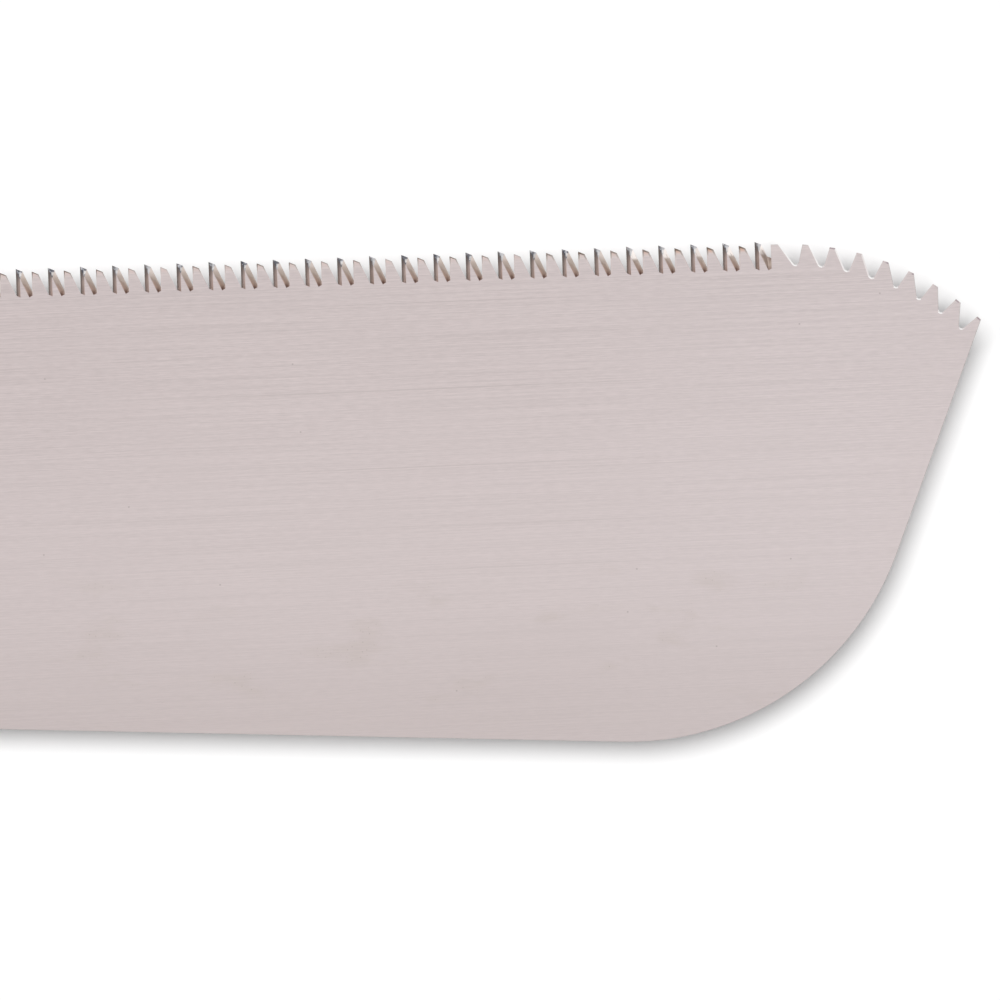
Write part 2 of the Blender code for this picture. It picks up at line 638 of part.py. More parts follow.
def make_handle(wood, tacks):
    """Two glued halves with the socket's recess and the holes of the pins, dowels and tacks."""
    reach = HALF_THICKNESS
    recess = block(
        (SOCKET_REAR_X - CLEARANCE, FOLD_Y - SOCKET_HALF - CLEARANCE, -SOCKET_HALF - CLEARANCE),
        (SOCKET_FRONT_X, SOCKET_TOP_Y + CLEARANCE, SOCKET_HALF + CLEARANCE),
    )
    shared = [add_cutter("socket_recess", recess)]
    for name, x in (("front", RIVET_FRONT_X), ("rear", RIVET_REAR_X)):
        hole = rod(RIVET_DIAMETER / 2 + CLEARANCE, -2 * reach, 2 * reach)
        shared.append(add_cutter("rivet_hole_" + name, hole, (x, 0.0, 0.0)))
    for number, x in enumerate(DOWEL_XS, 1):
        depth = DOWEL_LENGTH / 2 + CLEARANCE
        hole = rod(DOWEL_DIAMETER / 2 + CLEARANCE, -depth, depth)
        shared.append(add_cutter(f"dowel_hole_{number}", hole, (x, 0.0, 0.0)))
    for name, side in (("upper", 1), ("lower", -1)):
        rings = [half_ring(x, width, inset, side) for x, width, inset in wood_stations()]
        half = add_piece("handle_half_" + name, loft(rings), wood)
        low, high = cap_pin_span(side)
        hole = rod(CAP_PIN_DIAMETER / 2 + CLEARANCE, low - CLEARANCE, high + CLEARANCE, PIN_SIDES)
        extra = [add_cutter("cap_pin_hole_" + name, hole, (cap_pin_x(), 0.0, 0.0))]
        if side < 0:
            extra += tacks
        for cutter in shared + extra:
            carve(half, cutter)


def make_pins(steel, wood, brass):
    """Rivets through the handle and the socket, the guide pin in the fork, dowels and cap pins."""
    through = HALF_THICKNESS - PIN_SINK
    seat = HALF_THICKNESS - SEAT_INSET - PIN_SINK
    radius = RIVET_DIAMETER / 2
    add_piece("socket_rivet_front", pin(radius, -through, through), brass, (RIVET_FRONT_X, 0.0, 0.0))
    add_piece("socket_rivet_rear", pin(radius, -seat, seat), steel, (RIVET_REAR_X, 0.0, 0.0))
    cheek = SOCKET_HALF - PIN_SINK
    add_piece("guide_pin", pin(SHANK_RADIUS, -cheek, cheek, HOLE_SIDES), steel, (GUIDE_PIN_X, 0.0, 0.0))
    for name, x in zip(("front", "rear"), DOWEL_XS):
        dowel = pin(DOWEL_DIAMETER / 2, -DOWEL_LENGTH / 2, DOWEL_LENGTH / 2, DOWEL_SIDES)
        add_piece("dowel_" + name, dowel, wood, (x, 0.0, 0.0))
    for name, side in (("upper", 1), ("lower", -1)):
        low, high = cap_pin_span(side)
        add_piece("butt_cap_pin_" + name, pin(CAP_PIN_DIAMETER / 2, low, high), brass, (cap_pin_x(), 0.0, 0.0))


def cap_pin_x():
    return CAP_FRONT_X - CAP_DEPTH / 2


def cap_pin_span(side):
    """Lower and upper end of a pin driven into the upper or the lower half."""
    outer = HALF_THICKNESS - PIN_SINK
    inner = outer - CAP_PIN_LENGTH
    return (inner, outer) if side > 0 else (-outer, -inner)


def make_ferrule(material):
    """A drawn steel cup over the front of the wood, with a slot for the socket."""
    face_x = CLEARANCE + FERRULE_FACE
    rings = [full_ring(-FERRULE_LENGTH, GRIP_HALF_WIDTH, 0.0)]
    for i in range(ROUNDING_STEPS + 1):
        turn = math.pi / 2 * i / ROUNDING_STEPS
        x = face_x - FERRULE_ROUNDING * (1 - math.sin(turn))
        rings.append(full_ring(x, GRIP_HALF_WIDTH, FERRULE_ROUNDING * (1 - math.cos(turn))))
    ferrule = add_piece("ferrule", loft(rings), material)
    stations = (-2 * FERRULE_LENGTH, CLEARANCE)
    hollow = loft([full_ring(x, GRIP_HALF_WIDTH, FERRULE_WALL) for x in stations])
    slot = block(
        (-FERRULE_LENGTH / 2, FOLD_Y - SOCKET_HALF - CLEARANCE, -SOCKET_HALF - CLEARANCE),
        (2 * face_x, SOCKET_TOP_Y + CLEARANCE, SOCKET_HALF + CLEARANCE),
    )
    hole = rod(RIVET_DIAMETER / 2 + CLEARANCE, -2 * HALF_THICKNESS, 2 * HALF_THICKNESS)
    carve(ferrule, add_cutter("ferrule_hollow", hollow))
    carve(ferrule, add_cutter("ferrule_slot", slot))
    carve(ferrule, add_cutter("ferrule_rivet_hole", hole, (RIVET_FRONT_X, 0.0, 0.0)))


def make_butt_cap(material):
    """A moulded cup over the butt, pinned above and below."""
    rings = [full_ring(CAP_FRONT_X, BUTT_HALF_WIDTH, 0.0)]
    for i in range(ROUNDING_STEPS + 1):
        turn = math.pi / 2 * i / ROUNDING_STEPS
        x = BUTT_X + CAP_ROUNDING * (1 - math.sin(turn))
        rings.append(full_ring(x, BUTT_HALF_WIDTH, CAP_ROUNDING * (1 - math.cos(turn))))
    cap = add_piece("butt_cap", loft(rings), material)
    stations = (CAP_FRONT_X + CAP_DEPTH, -HANDLE_LENGTH - CLEARANCE)
    hollow = loft([full_ring(x, BUTT_HALF_WIDTH, CAP_WALL) for x in stations])
    hole = rod(CAP_PIN_DIAMETER / 2 + CLEARANCE, -2 * HALF_THICKNESS, 2 * HALF_THICKNESS, PIN_SIDES)
    carve(cap, add_cutter("cap_hollow", hollow))
    carve(cap, add_cutter("cap_pin_holes", hole, (cap_pin_x(), 0.0, 0.0)))


# Rattan binding


def perimeter_shares(points):
    """How far round the section each point lies, as a share, from the middle of the underside."""
    middle = Vector((0.0, points[0].y))
    walk = [middle, *points, middle]
    lengths = [(b - a).length for a, b in zip(walk, walk[1:])]
    total = sum(lengths)
    return [sum(lengths[:i + 1]) / total for i in range(len(points))], total


def cane_rings(start_x):
    """Square sections of one length of cane, wound in a helix from the middle of the underside."""
    inner = section(GRIP_HALF_WIDTH, WRAP_INSET + CANE_THICKNESS)
    outer = section(GRIP_HALF_WIDTH, WRAP_INSET)
    shares, perimeter = perimeter_shares(outer)
    end_y = SPLICE_GAP / 2
    end_share = end_y / perimeter
    walk = [(end_share, Vector((end_y, inner[0].y)), Vector((end_y, outer[0].y)))]
    for turn in range(WRAP_TURNS):
        walk += [(turn + share, i, o) for share, i, o in zip(shares, inner, outer)]
    walk.append((WRAP_TURNS - end_share, Vector((-end_y, inner[0].y)), Vector((-end_y, outer[0].y))))
    rings = []
    for turns, i, o in walk:
        x = start_x - WRAP_PITCH * turns
        front = x + CANE_WIDTH / 2
        rear = x - CANE_WIDTH / 2
        rings.append([Vector((front, *i)), Vector((front, *o)), Vector((rear, *o)), Vector((rear, *i))])
    return rings


def least_gap(rings):
    """The narrowest space between one turn's rear edge and the next turn's front edge, on points."""
    per_turn = 4 * (SECTION_STEPS + 1)
    inner_turns = rings[1:-1]
    pairs = zip(inner_turns, inner_turns[per_turn:])
    return min((near[2] - far[1]).length for near, far in pairs)


def tack_places():
    """Where a tack pins each end of each length of cane, on the underside."""
    outer = section(GRIP_HALF_WIDTH, WRAP_INSET)
    step = TACK_OFFSET / perimeter_shares(outer)[1] * WRAP_PITCH
    places = []
    for start_x in (WRAP_START_X, WRAP_START_X - WRAP_LENGTH):
        places.append((start_x - step, TACK_OFFSET, 0.0))
        places.append((start_x - WRAP_LENGTH + step, -TACK_OFFSET, 0.0))
    return places


def make_tack_holes():
    top = -HALF_THICKNESS + WRAP_INSET + TACK_LENGTH
    holes = []
    for number, place in enumerate(tack_places(), 1):
        hole = rod(TACK_SHANK_DIAMETER / 2 + CLEARANCE, -2 * HALF_THICKNESS, top, TACK_SIDES)
        holes.append(add_cutter(f"tack_hole_{number}", hole, place))
    return holes


def make_binding(cane, brass, holes):
    """Two wound lengths of cane, each pinned at both ends."""
    for index, name in enumerate(("front", "rear")):
        rings = cane_rings(WRAP_START_X - index * WRAP_LENGTH)
        wrap = add_piece("rattan_wrap_" + name, loft(rings), cane)
        for hole in holes[2 * index:2 * index + 2]:
            carve(wrap, hole)
        print(f"rattan_wrap_{name}: least gap to itself {least_gap(rings) / MM:.2f} mm")
    seat = -HALF_THICKNESS + WRAP_INSET - TACK_SEAT
    head = TACK_HEAD_DIAMETER / 2
    shank = TACK_SHANK_DIAMETER / 2
    profile = [
        (head - PIN_CHAMFER, seat - TACK_HEAD_HEIGHT),
        (head, seat - TACK_HEAD_HEIGHT / 2),
        (head, seat),
        (shank, seat),
        (shank, seat + TACK_LENGTH - 2 * shank),
        (TACK_POINT_RADIUS, seat + TACK_LENGTH - CLEARANCE),
    ]
    for number, place in enumerate(tack_places(), 1):
        add_piece(f"rattan_tack_{number}", turned(profile, TACK_SIDES), brass, place)


def stand_on_origin(blade):
    """Moves the saw so that the middle of its underside is at the world's origin."""
    corners = [vertex.co for vertex in blade.data.vertices]
    toe_x = max(corner.x for corner in corners)
    high_y = max(corner.y for corner in corners)
    low_y = min(corner.y for corner in corners)
    saw.location = (-(toe_x + BUTT_X) / 2, -(high_y + low_y) / 2, HALF_THICKNESS)


clear_scene()
saw = bpy.data.objects.new("saw", None)
bpy.context.scene.collection.objects.link(saw)

plate_steel = finish("plate_steel", (0.62, 0.55, 0.54), 0.34, 1.0)
socket_steel = finish("socket_steel", (0.55, 0.56, 0.57), 0.35, 1.0)
screw_steel = finish("screw_steel", (0.62, 0.62, 0.63), 0.28, 1.0)
pin_brass = finish("pin_brass", (0.72, 0.55, 0.28), 0.32, 1.0)
handle_wood = finish("handle_wood", (0.62, 0.43, 0.25), 0.55, 0.0)
rattan_cane = finish("rattan_cane", (0.66, 0.45, 0.22), 0.42, 0.0)
cap_plastic = finish("cap_plastic", (0.03, 0.03, 0.032), 0.45, 0.0)
cutter_finish = finish("cutter", (0.8, 0.1, 0.1), 0.5, 0.0)

saw_blade = make_blade(plate_steel)
make_socket(socket_steel)
make_clamp(screw_steel, screw_steel, socket_steel)
tack_holes = make_tack_holes()
make_handle(handle_wood, tack_holes)
make_pins(socket_steel, handle_wood, pin_brass)
make_ferrule(socket_steel)
make_butt_cap(cap_plastic)
make_binding(rattan_cane, pin_brass, tack_holes)
stand_on_origin(saw_blade)
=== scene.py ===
"""Looks of the pull saw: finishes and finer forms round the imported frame, with stage, light and camera."""

import json
import math

import bmesh
import bpy
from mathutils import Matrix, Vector


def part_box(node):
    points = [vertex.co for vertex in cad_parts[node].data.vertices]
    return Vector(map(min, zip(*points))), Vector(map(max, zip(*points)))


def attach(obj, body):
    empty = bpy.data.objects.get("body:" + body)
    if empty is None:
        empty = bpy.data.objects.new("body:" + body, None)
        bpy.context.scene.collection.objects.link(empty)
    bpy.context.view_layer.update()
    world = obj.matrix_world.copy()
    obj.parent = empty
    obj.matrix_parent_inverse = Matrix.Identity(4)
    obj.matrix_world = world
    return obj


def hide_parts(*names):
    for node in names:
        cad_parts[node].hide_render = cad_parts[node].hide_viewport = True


MM = 0.001

# Photograph's frame
FRAME_WIDTH = 108.86 * MM          # width of the picture on the plate
TOE_TO_MIDDLE = 52.34 * MM         # from the toe's point back to the middle of the picture
AXIS_TO_MIDDLE = 0.84 * MM         # from the saw's axis down to the middle of the picture
LENS_MM = 600.0
SENSOR_MM = 36.0

# Stage
FLOOR_HALF = 30.0                  # half the side of the floor
FLOOR_DROP = 0.02 * MM             # from the saw's underside down to the floor
FLOOR_WHITE = 0.9
FLOOR_GLOW = 0.03                  # added where the camera sees the floor
SKY_LIGHT = 0.03                   # strength of the white surroundings as a light
KEY_STRENGTH = 3.4
KEY_SPREAD = math.radians(23.5)
KEY_FROM = (-0.044, 0.07, 1.0)

# Meshes taken from the frame
WELD = 0.001 * MM
FLAT_ANGLE = math.radians(0.3)     # faces that turn less than this are one
SHARP_ANGLE = math.radians(30)     # an edge that turns more than this is a corner
BENT_ANGLES = (math.radians(6), math.radians(40))  # an edge that turns so much lies on a round part
FACET_CUT = 28                     # percent of a facet that is cut off at each side

# Broken edges
SATIN_EDGE = 0.15 * MM
PLATED_EDGE = 0.1 * MM
BRASS_EDGE = 0.08 * MM
WOOD_EDGE = 0.1 * MM
CAP_EDGE = 0.15 * MM
EDGE_STEPS = 2
EDGE_FULLNESS = 0.6

# Toothed edge
TOOTH_RISE = math.radians(2.1)     # of the line of tips against X
LINE_DIRECTION = Vector((math.cos(TOOTH_RISE), math.sin(TOOTH_RISE), 0.0))
LINE_NORMAL = Vector((-math.sin(TOOTH_RISE), math.cos(TOOTH_RISE), 0.0))
TOOTH_PITCH = 1.75 * MM
LEVEL_TIPS = 0.01 * MM             # the high teeth's tips differ less than this in height
CROWN_ROOM = 1.5 * MM              # the ground tops lie this near to the line of tips
TOOTH_ROOM = 4.0 * MM              # everything on the teeth lies this near to the line of tips
NOSE_FALL = 40.0 * MM              # the nose falls away by the square of the way along it over this
FLANK_FOOT = 0.36 * MM             # from the plate's middle down to the start of a flank's change of tone
FLANK_TOP = 0.22 * MM              # from the plate's middle up to its end
FLANK_LINE = 0.1 * MM              # dark line round a tooth's full face
TOE_FLANK_LINE = 0.17 * MM         # the same on the last teeth before the nose
TOE_TEETH_ROOM = 25.0 * MM         # those teeth lie this near to the nose
NOSE_LINE = 0.16 * MM              # bright edge round the nose's gullets
PLATE_LINE = 0.04 * MM             # broken edge of the rest of the plate
LINE_SLOPE = 0.15                  # fall of a broken edge against its width
TIP_FLAT = (0.3 * MM, 0.8 * MM)    # shortest and longest blunt tip of a nose tooth
TIP_SPOTS_FROM = 5.0 * MM          # from the nose's start to the first tip with a dark spot
PLATE_THICKNESS = 0.6 * MM         # of the plate itself, without the set of its teeth

# Ways in which the blade's faces look, as the length of their normal along an axis
FACE_FACING = 0.97                 # the plate's faces look up or down more than this
WALL_FACING = 0.05                 # its square-cut edges look up or down less than this
CROWN_FACING = 0.55                # ground tops look away from the back more than this
NOSE_GULLET_FACING = 0.25          # walls of the nose with a bright edge do so more than this
GULLET_FLOOR_FACING = 0.8          # a gullet's floor faces up more than this
GLINT_FROM = (0.45, 0.9, 0.0)      # the nose's edges get a painted highlight where they look this way

# Brushing of the plate, with lines per metre along X, Y and Z
BRUSH_RISE = math.radians(2.4)     # of the lines against X
LONG_LINES = (33.0, 7000.0, 7000.0)
SHORT_GRAIN = (700.0, 7000.0, 7000.0)
SCRATCHES = (10.0, 4500.0, 4500.0)
LONG_SHARE = 0.55                  # of the long lines in the brushing
BROAD_LINES = (0.4, 0.22, 0.22)    # broad lines for each fine one

# Specks and smudges on the plate
SPECK_NET = 9.0 * MM
SPECK_RADIUS = 0.09 * MM
SPECK_SHARE = 0.24                 # of the net's cells that hold a speck
SMUDGE_STRETCH = (110.0, 260.0, 260.0)  # smudges per metre along X, Y and Z
SMUDGE_START = (31.0 * MM, 38.0 * MM)   # below the line of tips, where they begin and are full
SMUDGE_END = (53.0 * MM, 47.0 * MM)     # where they are gone again and are still full
CRUMB_NET = 0.8 * MM
CRUMB_RADIUS = 0.06 * MM
CRUMB_SHARE = 0.5                  # of the net's cells that hold a crumb of dirt, where the plate is smudged

# What several finishes of the blade share
PLATE_TONE = (0.627, 0.551, 0.547, 1.0)
TOOTH_FACE_TONE = (0.655, 0.575, 0.565, 1.0)
FLANK_GRAIN = (1500.0, 500.0, 4000.0)
FLANK_RELIEF = 0.004 * MM
GROUND_ROUGHNESS = 0.3
LINE_ROUGHNESS = 0.35

# Cane binding
CANE_WIDTH = 4.6 * MM
CANE_THICKNESS = 1.0 * MM
CANE_PITCH = 5.1 * MM              # from turn to turn
CANE_CORNER = 8.2 * MM             # radius at the handle's corners
CANE_CORNER_STEPS = 8
CANE_END_GAP = 0.5 * MM            # from the middle of the underside to each end
BARK_SHARE = 0.97                  # of the cane's width that its crowned side takes
BARK_STEPS = 8
BARK_CROWN = 0.32                  # fall of the crowned side towards its edges, over the thickness
BARK_EDGE = 0.5                    # depth of the corner beside it, over the thickness
STEM_JOINTS = 310 * MM             # from one joint in the stem to the next

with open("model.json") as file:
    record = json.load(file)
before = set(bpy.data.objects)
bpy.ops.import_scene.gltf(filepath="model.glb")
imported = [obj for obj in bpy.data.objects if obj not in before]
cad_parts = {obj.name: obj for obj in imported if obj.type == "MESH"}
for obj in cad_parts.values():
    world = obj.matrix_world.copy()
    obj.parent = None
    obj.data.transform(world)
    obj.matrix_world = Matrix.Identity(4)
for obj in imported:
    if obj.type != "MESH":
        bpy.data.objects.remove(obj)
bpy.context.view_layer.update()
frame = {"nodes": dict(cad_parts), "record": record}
record = frame["record"]
slot_of = {part["node"]: part["material_slot"] for part in record["subparts"]}
body_of = {name: body for body, names in record["behaviour"]["bodies"].items() for name in names}

# Places on the blade: heights square to the line of tips, and ways along it
blade_points = [vertex.co for vertex in frame["nodes"]["blade"].data.vertices]
tallest = max(blade_points, key=lambda point: point.dot(LINE_NORMAL))
tip_level = tallest.dot(LINE_NORMAL)
tip_phase = tallest.dot(LINE_DIRECTION)
high_tips = [point for point in blade_points if tip_level - point.dot(LINE_NORMAL) < LEVEL_TIPS]
nose_start = max(point.dot(LINE_DIRECTION) for point in high_tips) + TOOTH_PITCH
plate_middle = (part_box("guide_pin")[0].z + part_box("guide_pin")[1].z) / 2


# Node trees

FLOAT = "NodeSocketFloat"
VECTOR = "NodeSocketVector"


def node(tree, kind, settings=None, inputs=None):
    """Adds a node. An input that is a socket is linked, and anything else is set."""
    made = tree.nodes.new("ShaderNode" + kind)
    for name, value in (settings or {}).items():
        setattr(made, name, value)
    for name, value in (inputs or {}).items():
        join(tree, made.inputs[name], value)
    return made


def join(tree, socket, value):
    if isinstance(value, bpy.types.NodeSocket):
        tree.links.new(value, socket)
    else:
        socket.default_value = value


def math_node(tree, operation, first, second=0.0):
    return node(tree, "Math", {"operation": operation}, {0: first, 1: second}).outputs[0]


def product(tree, first, second):
    return math_node(tree, "MULTIPLY", first, second)


def stretched(tree, place, factors):
    """A place with each of its coordinates multiplied by a factor."""
    return node(tree, "VectorMath", {"operation": "MULTIPLY"}, {0: place, 1: factors}).outputs[0]


def length_along(tree, vector, direction):
    return node(tree, "VectorMath", {"operation": "DOT_PRODUCT"}, {0: vector, 1: direction}).outputs["Value"]


def height_of(tree, vector):
    return node(tree, "SeparateXYZ", None, {0: vector}).outputs["Z"]


def noise(tree, place, detail, scale=1.0, roughness=0.5):
    inputs = {"Vector": place, "Scale": scale, "Detail": detail, "Roughness": roughness}
    return node(tree, "TexNoise", None, inputs).outputs["Fac"]


def between(tree, value, low, high, to_low=0.0, to_high=1.0):
    """A value's place between two limits, smoothly, as a share."""
    settings = {"interpolation_type": "SMOOTHSTEP"}
    limits = {"Value": value, "From Min": low, "From Max": high, "To Min": to_low, "To Max": to_high}
    return node(tree, "MapRange", settings, limits).outputs[0]


def mixed(tree, share, first, second):
    """One colour changing into another."""
    return node(tree, "Mix", {"data_type": "RGBA"}, {0: share, 6: first, 7: second}).outputs[2]


def colour(red, green, blue):
    return (red, green, blue, 1.0)


def object_place(tree):
    return node(tree, "TexCoord").outputs["Object"]


def true_normal(tree):
    return node(tree, "NewGeometry").outputs["True Normal"]


def group_tree(name, inputs, outputs):
    """A shader node group with named sockets. Returns its tree, its input node and its output node."""
    tree = bpy.data.node_groups.new(name, "ShaderNodeTree")
    for label, kind, start in inputs:
        socket = tree.interface.new_socket(label, in_out="INPUT", socket_type=kind)
        socket.default_value = start
    for label, kind in outputs:
        tree.interface.new_socket(label, in_out="OUTPUT", socket_type=kind)
    return tree, tree.nodes.new("NodeGroupInput"), tree.nodes.new("NodeGroupOutput")


def use_group(tree, group, inputs=None):
    made = tree.nodes.new("ShaderNodeGroup")
    made.node_tree = group
    for name, value in (inputs or {}).items():
        join(tree, made.inputs[name], value)
    return made


# Effects that several finishes share


def make_brush_marks():
    """Fine and broad lines of a brushed surface. Stretch holds lines per metre along X, Y and Z."""
    inputs = [("Stretch", VECTOR, (20.0, 3000.0, 3000.0)), ("Turn", FLOAT, 0.0)]
    tree, given, out = group_tree("brush_marks", inputs, [("Fine", FLOAT), ("Broad", FLOAT)])
    turned = node(tree, "VectorRotate", {"rotation_type": "Z_AXIS"},
                  {"Vector": object_place(tree), "Angle": given.outputs["Turn"]}).outputs[0]
    fine_place = stretched(tree, turned, given.outputs["Stretch"])
    broad_place = stretched(tree, fine_place, BROAD_LINES)
    for label, place in (("Fine", fine_place), ("Broad", broad_place)):
        tree.links.new(noise(tree, place, 3.0, roughness=0.6), out.inputs[label])
    return tree


def make_blotches():
    """Broad, soft uneven patches from handling. Size is the patches' size in metres."""
    tree, given, out = group_tree("blotches", [("Size", FLOAT, 20 * MM)], [("Patches", FLOAT)])
    scale = math_node(tree, "DIVIDE", 1.0, given.outputs["Size"])
    tree.links.new(noise(tree, object_place(tree), 4.0, scale), out.inputs["Patches"])
    return tree


def make_edge_wear():
    """Where an outer edge is rubbed. Width is in metres."""
    inputs = [("Width", FLOAT, 0.4 * MM), ("Patchiness", FLOAT, 0.5)]
    tree, given, out = group_tree("edge_wear", inputs, [("Wear", FLOAT)])
    rounded = node(tree, "Bevel", {"samples": 6}, {"Radius": given.outputs["Width"]}).outputs[0]
    edge = between(tree, length_along(tree, rounded, true_normal(tree)), 0.995, 0.85)
    broken = between(tree, noise(tree, object_place(tree), 3.0, 900.0), 0.35, 0.6)
    kept = math_node(tree, "SUBTRACT", 1.0, given.outputs["Patchiness"])
    share = node(tree, "MapRange", None, {"Value": broken, "To Min": kept, "To Max": 1.0}).outputs[0]
    tree.links.new(product(tree, edge, share), out.inputs["Wear"])
    return tree


def make_wood_grain():
    """Year rings, fibres and pores of a plain-sawn board that runs along X."""
    inputs = [("Ring Width", FLOAT, 3.5 * MM), ("Heart", VECTOR, (0.0, 12 * MM, -30 * MM))]
    outputs = [("Rings", FLOAT), ("Fibres", FLOAT), ("Pores", FLOAT)]
    tree, given, out = group_tree("wood_grain", inputs, outputs)
    place = object_place(tree)
    wander = product(tree, noise(tree, stretched(tree, place, (9.0, 60.0, 60.0)), 2.0), 6 * MM)
    from_heart = node(tree, "VectorMath", {"operation": "SUBTRACT"}, {0: place, 1: given.outputs["Heart"]})
    flat = stretched(tree, from_heart.outputs[0], (0.04, 1.0, 1.0))
    radius = node(tree, "VectorMath", {"operation": "LENGTH"}, {0: flat}).outputs["Value"]
    rings = math_node(tree, "DIVIDE", math_node(tree, "ADD", radius, wander), given.outputs["Ring Width"])
    ring = math_node(tree, "FRACT", rings)
    late = product(tree, between(tree, ring, 0.15, 0.92), between(tree, ring, 1.0, 0.93))
    tree.links.new(late, out.inputs["Rings"])
    fibres = noise(tree, stretched(tree, place, (40.0, 2600.0, 2600.0)), 4.0)
    tree.links.new(fibres, out.inputs["Fibres"])
    pores = noise(tree, stretched(tree, place, (260.0, 4200.0, 4200.0)), 1.0)
    tree.links.new(between(tree, pores, 0.66, 0.78), out.inputs["Pores"])
    return tree


def make_tooth_place():
    """Where a point lies on the toothed edge, in metres, and a number of chance for each pair of teeth.

    Below Tips is the depth under the line of tips, Along the place on that line, and Past Tip the distance
    from the last tip whose bevels face up.
    """
    outputs = [("Below Tips", FLOAT), ("Chance", FLOAT), ("Along", FLOAT), ("Past Tip", FLOAT)]
    tree, _, out = group_tree("tooth_place", [], outputs)
    place = object_place(tree)
    height = length_along(tree, place, LINE_NORMAL)
    tree.links.new(math_node(tree, "SUBTRACT", tip_level, height), out.inputs["Below Tips"])
    along = length_along(tree, place, LINE_DIRECTION)
    tree.links.new(along, out.inputs["Along"])
    pairs = math_node(tree, "DIVIDE", math_node(tree, "SUBTRACT", along, tip_phase), 2 * TOOTH_PITCH)
    past = product(tree, math_node(tree, "FRACT", pairs), 2 * TOOTH_PITCH)
    tree.links.new(past, out.inputs["Past Tip"])
    chance = node(tree, "TexWhiteNoise", {"noise_dimensions": "1D"}, {"W": math_node(tree, "FLOOR", pairs)})
    tree.links.new(chance.outputs["Value"], out.inputs["Chance"])
    return tree


# Finishes


def new_finish(name):
    """A material with a Principled shader. Returns the material, its tree and the shader."""
    material = bpy.data.materials.new(name)
    material.use_nodes = True
    return material, material.node_tree, material.node_tree.nodes["Principled BSDF"]


def set_shader(tree, shader, **values):
    for name, value in values.items():
        join(tree, shader.inputs[name.replace("_", " ").title()], value)


def bump(tree, shader, height, depth):
    """Relief of a real depth in metres."""
    raised = node(tree, "Bump", None, {"Height": height, "Distance": depth, "Strength": 1.0})
    tree.links.new(raised.outputs[0], shader.inputs["Normal"])


def plate_finish():
    """Brushed plate, a little soiled, with temper colours on the tips of the crosscut teeth."""
    material, tree, shader = new_finish("brushed_plate")
    marks = use_group(tree, brush_marks, {"Stretch": LONG_LINES, "Turn": -BRUSH_RISE})
    place = use_group(tree, tooth_place)
    below = place.outputs["Below Tips"]
    along = place.outputs["Along"]
    tone = brushed_tone(tree, marks, below)
    tone = shaded_tone(tree, tone, below, along)
    tone = soiled_tone(tree, tone, below)
    tone = tempered_tone(tree, tone, below, along)
    roughness = between(tree, marks.outputs["Fine"], 0.2, 0.8, 0.34, 0.44)
    set_shader(tree, shader, base_color=tone, roughness=roughness, metallic=1.0)
    bump(tree, shader, marks.outputs["Fine"], 0.002 * MM)
    return material


def brushed_tone(tree, marks, below):
    """Long lines, short grain and scratches that fade towards the back, with broad lines and patches."""
    grain = use_group(tree, brush_marks, {"Stretch": SHORT_GRAIN, "Turn": -BRUSH_RISE})
    contrast = between(tree, below, 4 * MM, 45 * MM, 1.0, 0.6)
    drawn = product(tree, marks.outputs["Fine"], LONG_SHARE)
    lines = math_node(tree, "ADD", drawn, product(tree, grain.outputs["Fine"], 1 - LONG_SHARE))
    lines = math_node(tree, "SUBTRACT", between(tree, lines, 0.285, 0.715), 0.5)
    lines = math_node(tree, "ADD", product(tree, lines, contrast), 0.5)
    tone = mixed(tree, lines, colour(0.533, 0.466, 0.461), colour(0.676, 0.594, 0.589))
    broad = between(tree, marks.outputs["Broad"], 0.3, 0.7, 0.0, 0.15)
    tone = mixed(tree, broad, tone, colour(0.648, 0.570, 0.566))
    deep = use_group(tree, brush_marks, {"Stretch": SCRATCHES, "Turn": -BRUSH_RISE})
    scratch = product(tree, between(tree, deep.outputs["Fine"], 0.36, 0.28, 0.0, 0.5), contrast)
    tone = mixed(tree, scratch, tone, colour(0.46, 0.40, 0.39))
    patches = use_group(tree, blotches, {"Size": 12 * MM})
    patch = between(tree, patches.outputs["Patches"], 0.45, 0.8, 0.0, 0.25)
    return mixed(tree, patch, tone, colour(0.585, 0.515, 0.508))


def shaded_tone(tree, tone, below, along):
    """Slow changes over the plate: paler towards the toe and away from the teeth, darker by the back."""
    towards_toe = between(tree, along, nose_start - 40 * MM, nose_start + 12 * MM, 0.0, 0.055)
    tone = mixed(tree, towards_toe, tone, colour(0.96, 0.93, 0.98))
    from_heel = between(tree, along, nose_start - 85 * MM, nose_start - 45 * MM, 0.0, 0.03)
    tone = mixed(tree, from_heel, tone, colour(1.0, 0.93, 0.91))
    middle = between(tree, below, 5 * MM, 28 * MM, 0.0, 0.05)
    tone = mixed(tree, middle, tone, colour(1.0, 0.93, 0.93))
    by_back = between(tree, below, 34 * MM, 53 * MM, 0.0, 0.22)
    return mixed(tree, by_back, tone, colour(0.41, 0.352, 0.338))


def soiled_tone(tree, tone, below):
    """Faint smudges with crumbs of dirt in them, and lone specks."""
    smudge = smudges(tree, below)
    tone = mixed(tree, product(tree, smudge, 0.26), tone, colour(0.52, 0.455, 0.415))
    crumbs = product(tree, specks(tree, CRUMB_NET, CRUMB_RADIUS, CRUMB_SHARE), smudge)
    tone = mixed(tree, product(tree, crumbs, 0.5), tone, colour(0.36, 0.31, 0.28))
    lone = specks(tree, SPECK_NET, SPECK_RADIUS, SPECK_SHARE)
    return mixed(tree, product(tree, lone, 0.5), tone, colour(0.33, 0.28, 0.27))


def smudges(tree, below):
    """Faint smudges from handling, in a band along the plate's back."""
    cloud = noise(tree, stretched(tree, object_place(tree), SMUDGE_STRETCH), 6.0, roughness=0.62)
    band = product(tree, between(tree, below, *SMUDGE_START), between(tree, below, *SMUDGE_END))
    return product(tree, between(tree, cloud, 0.54, 0.72), band)


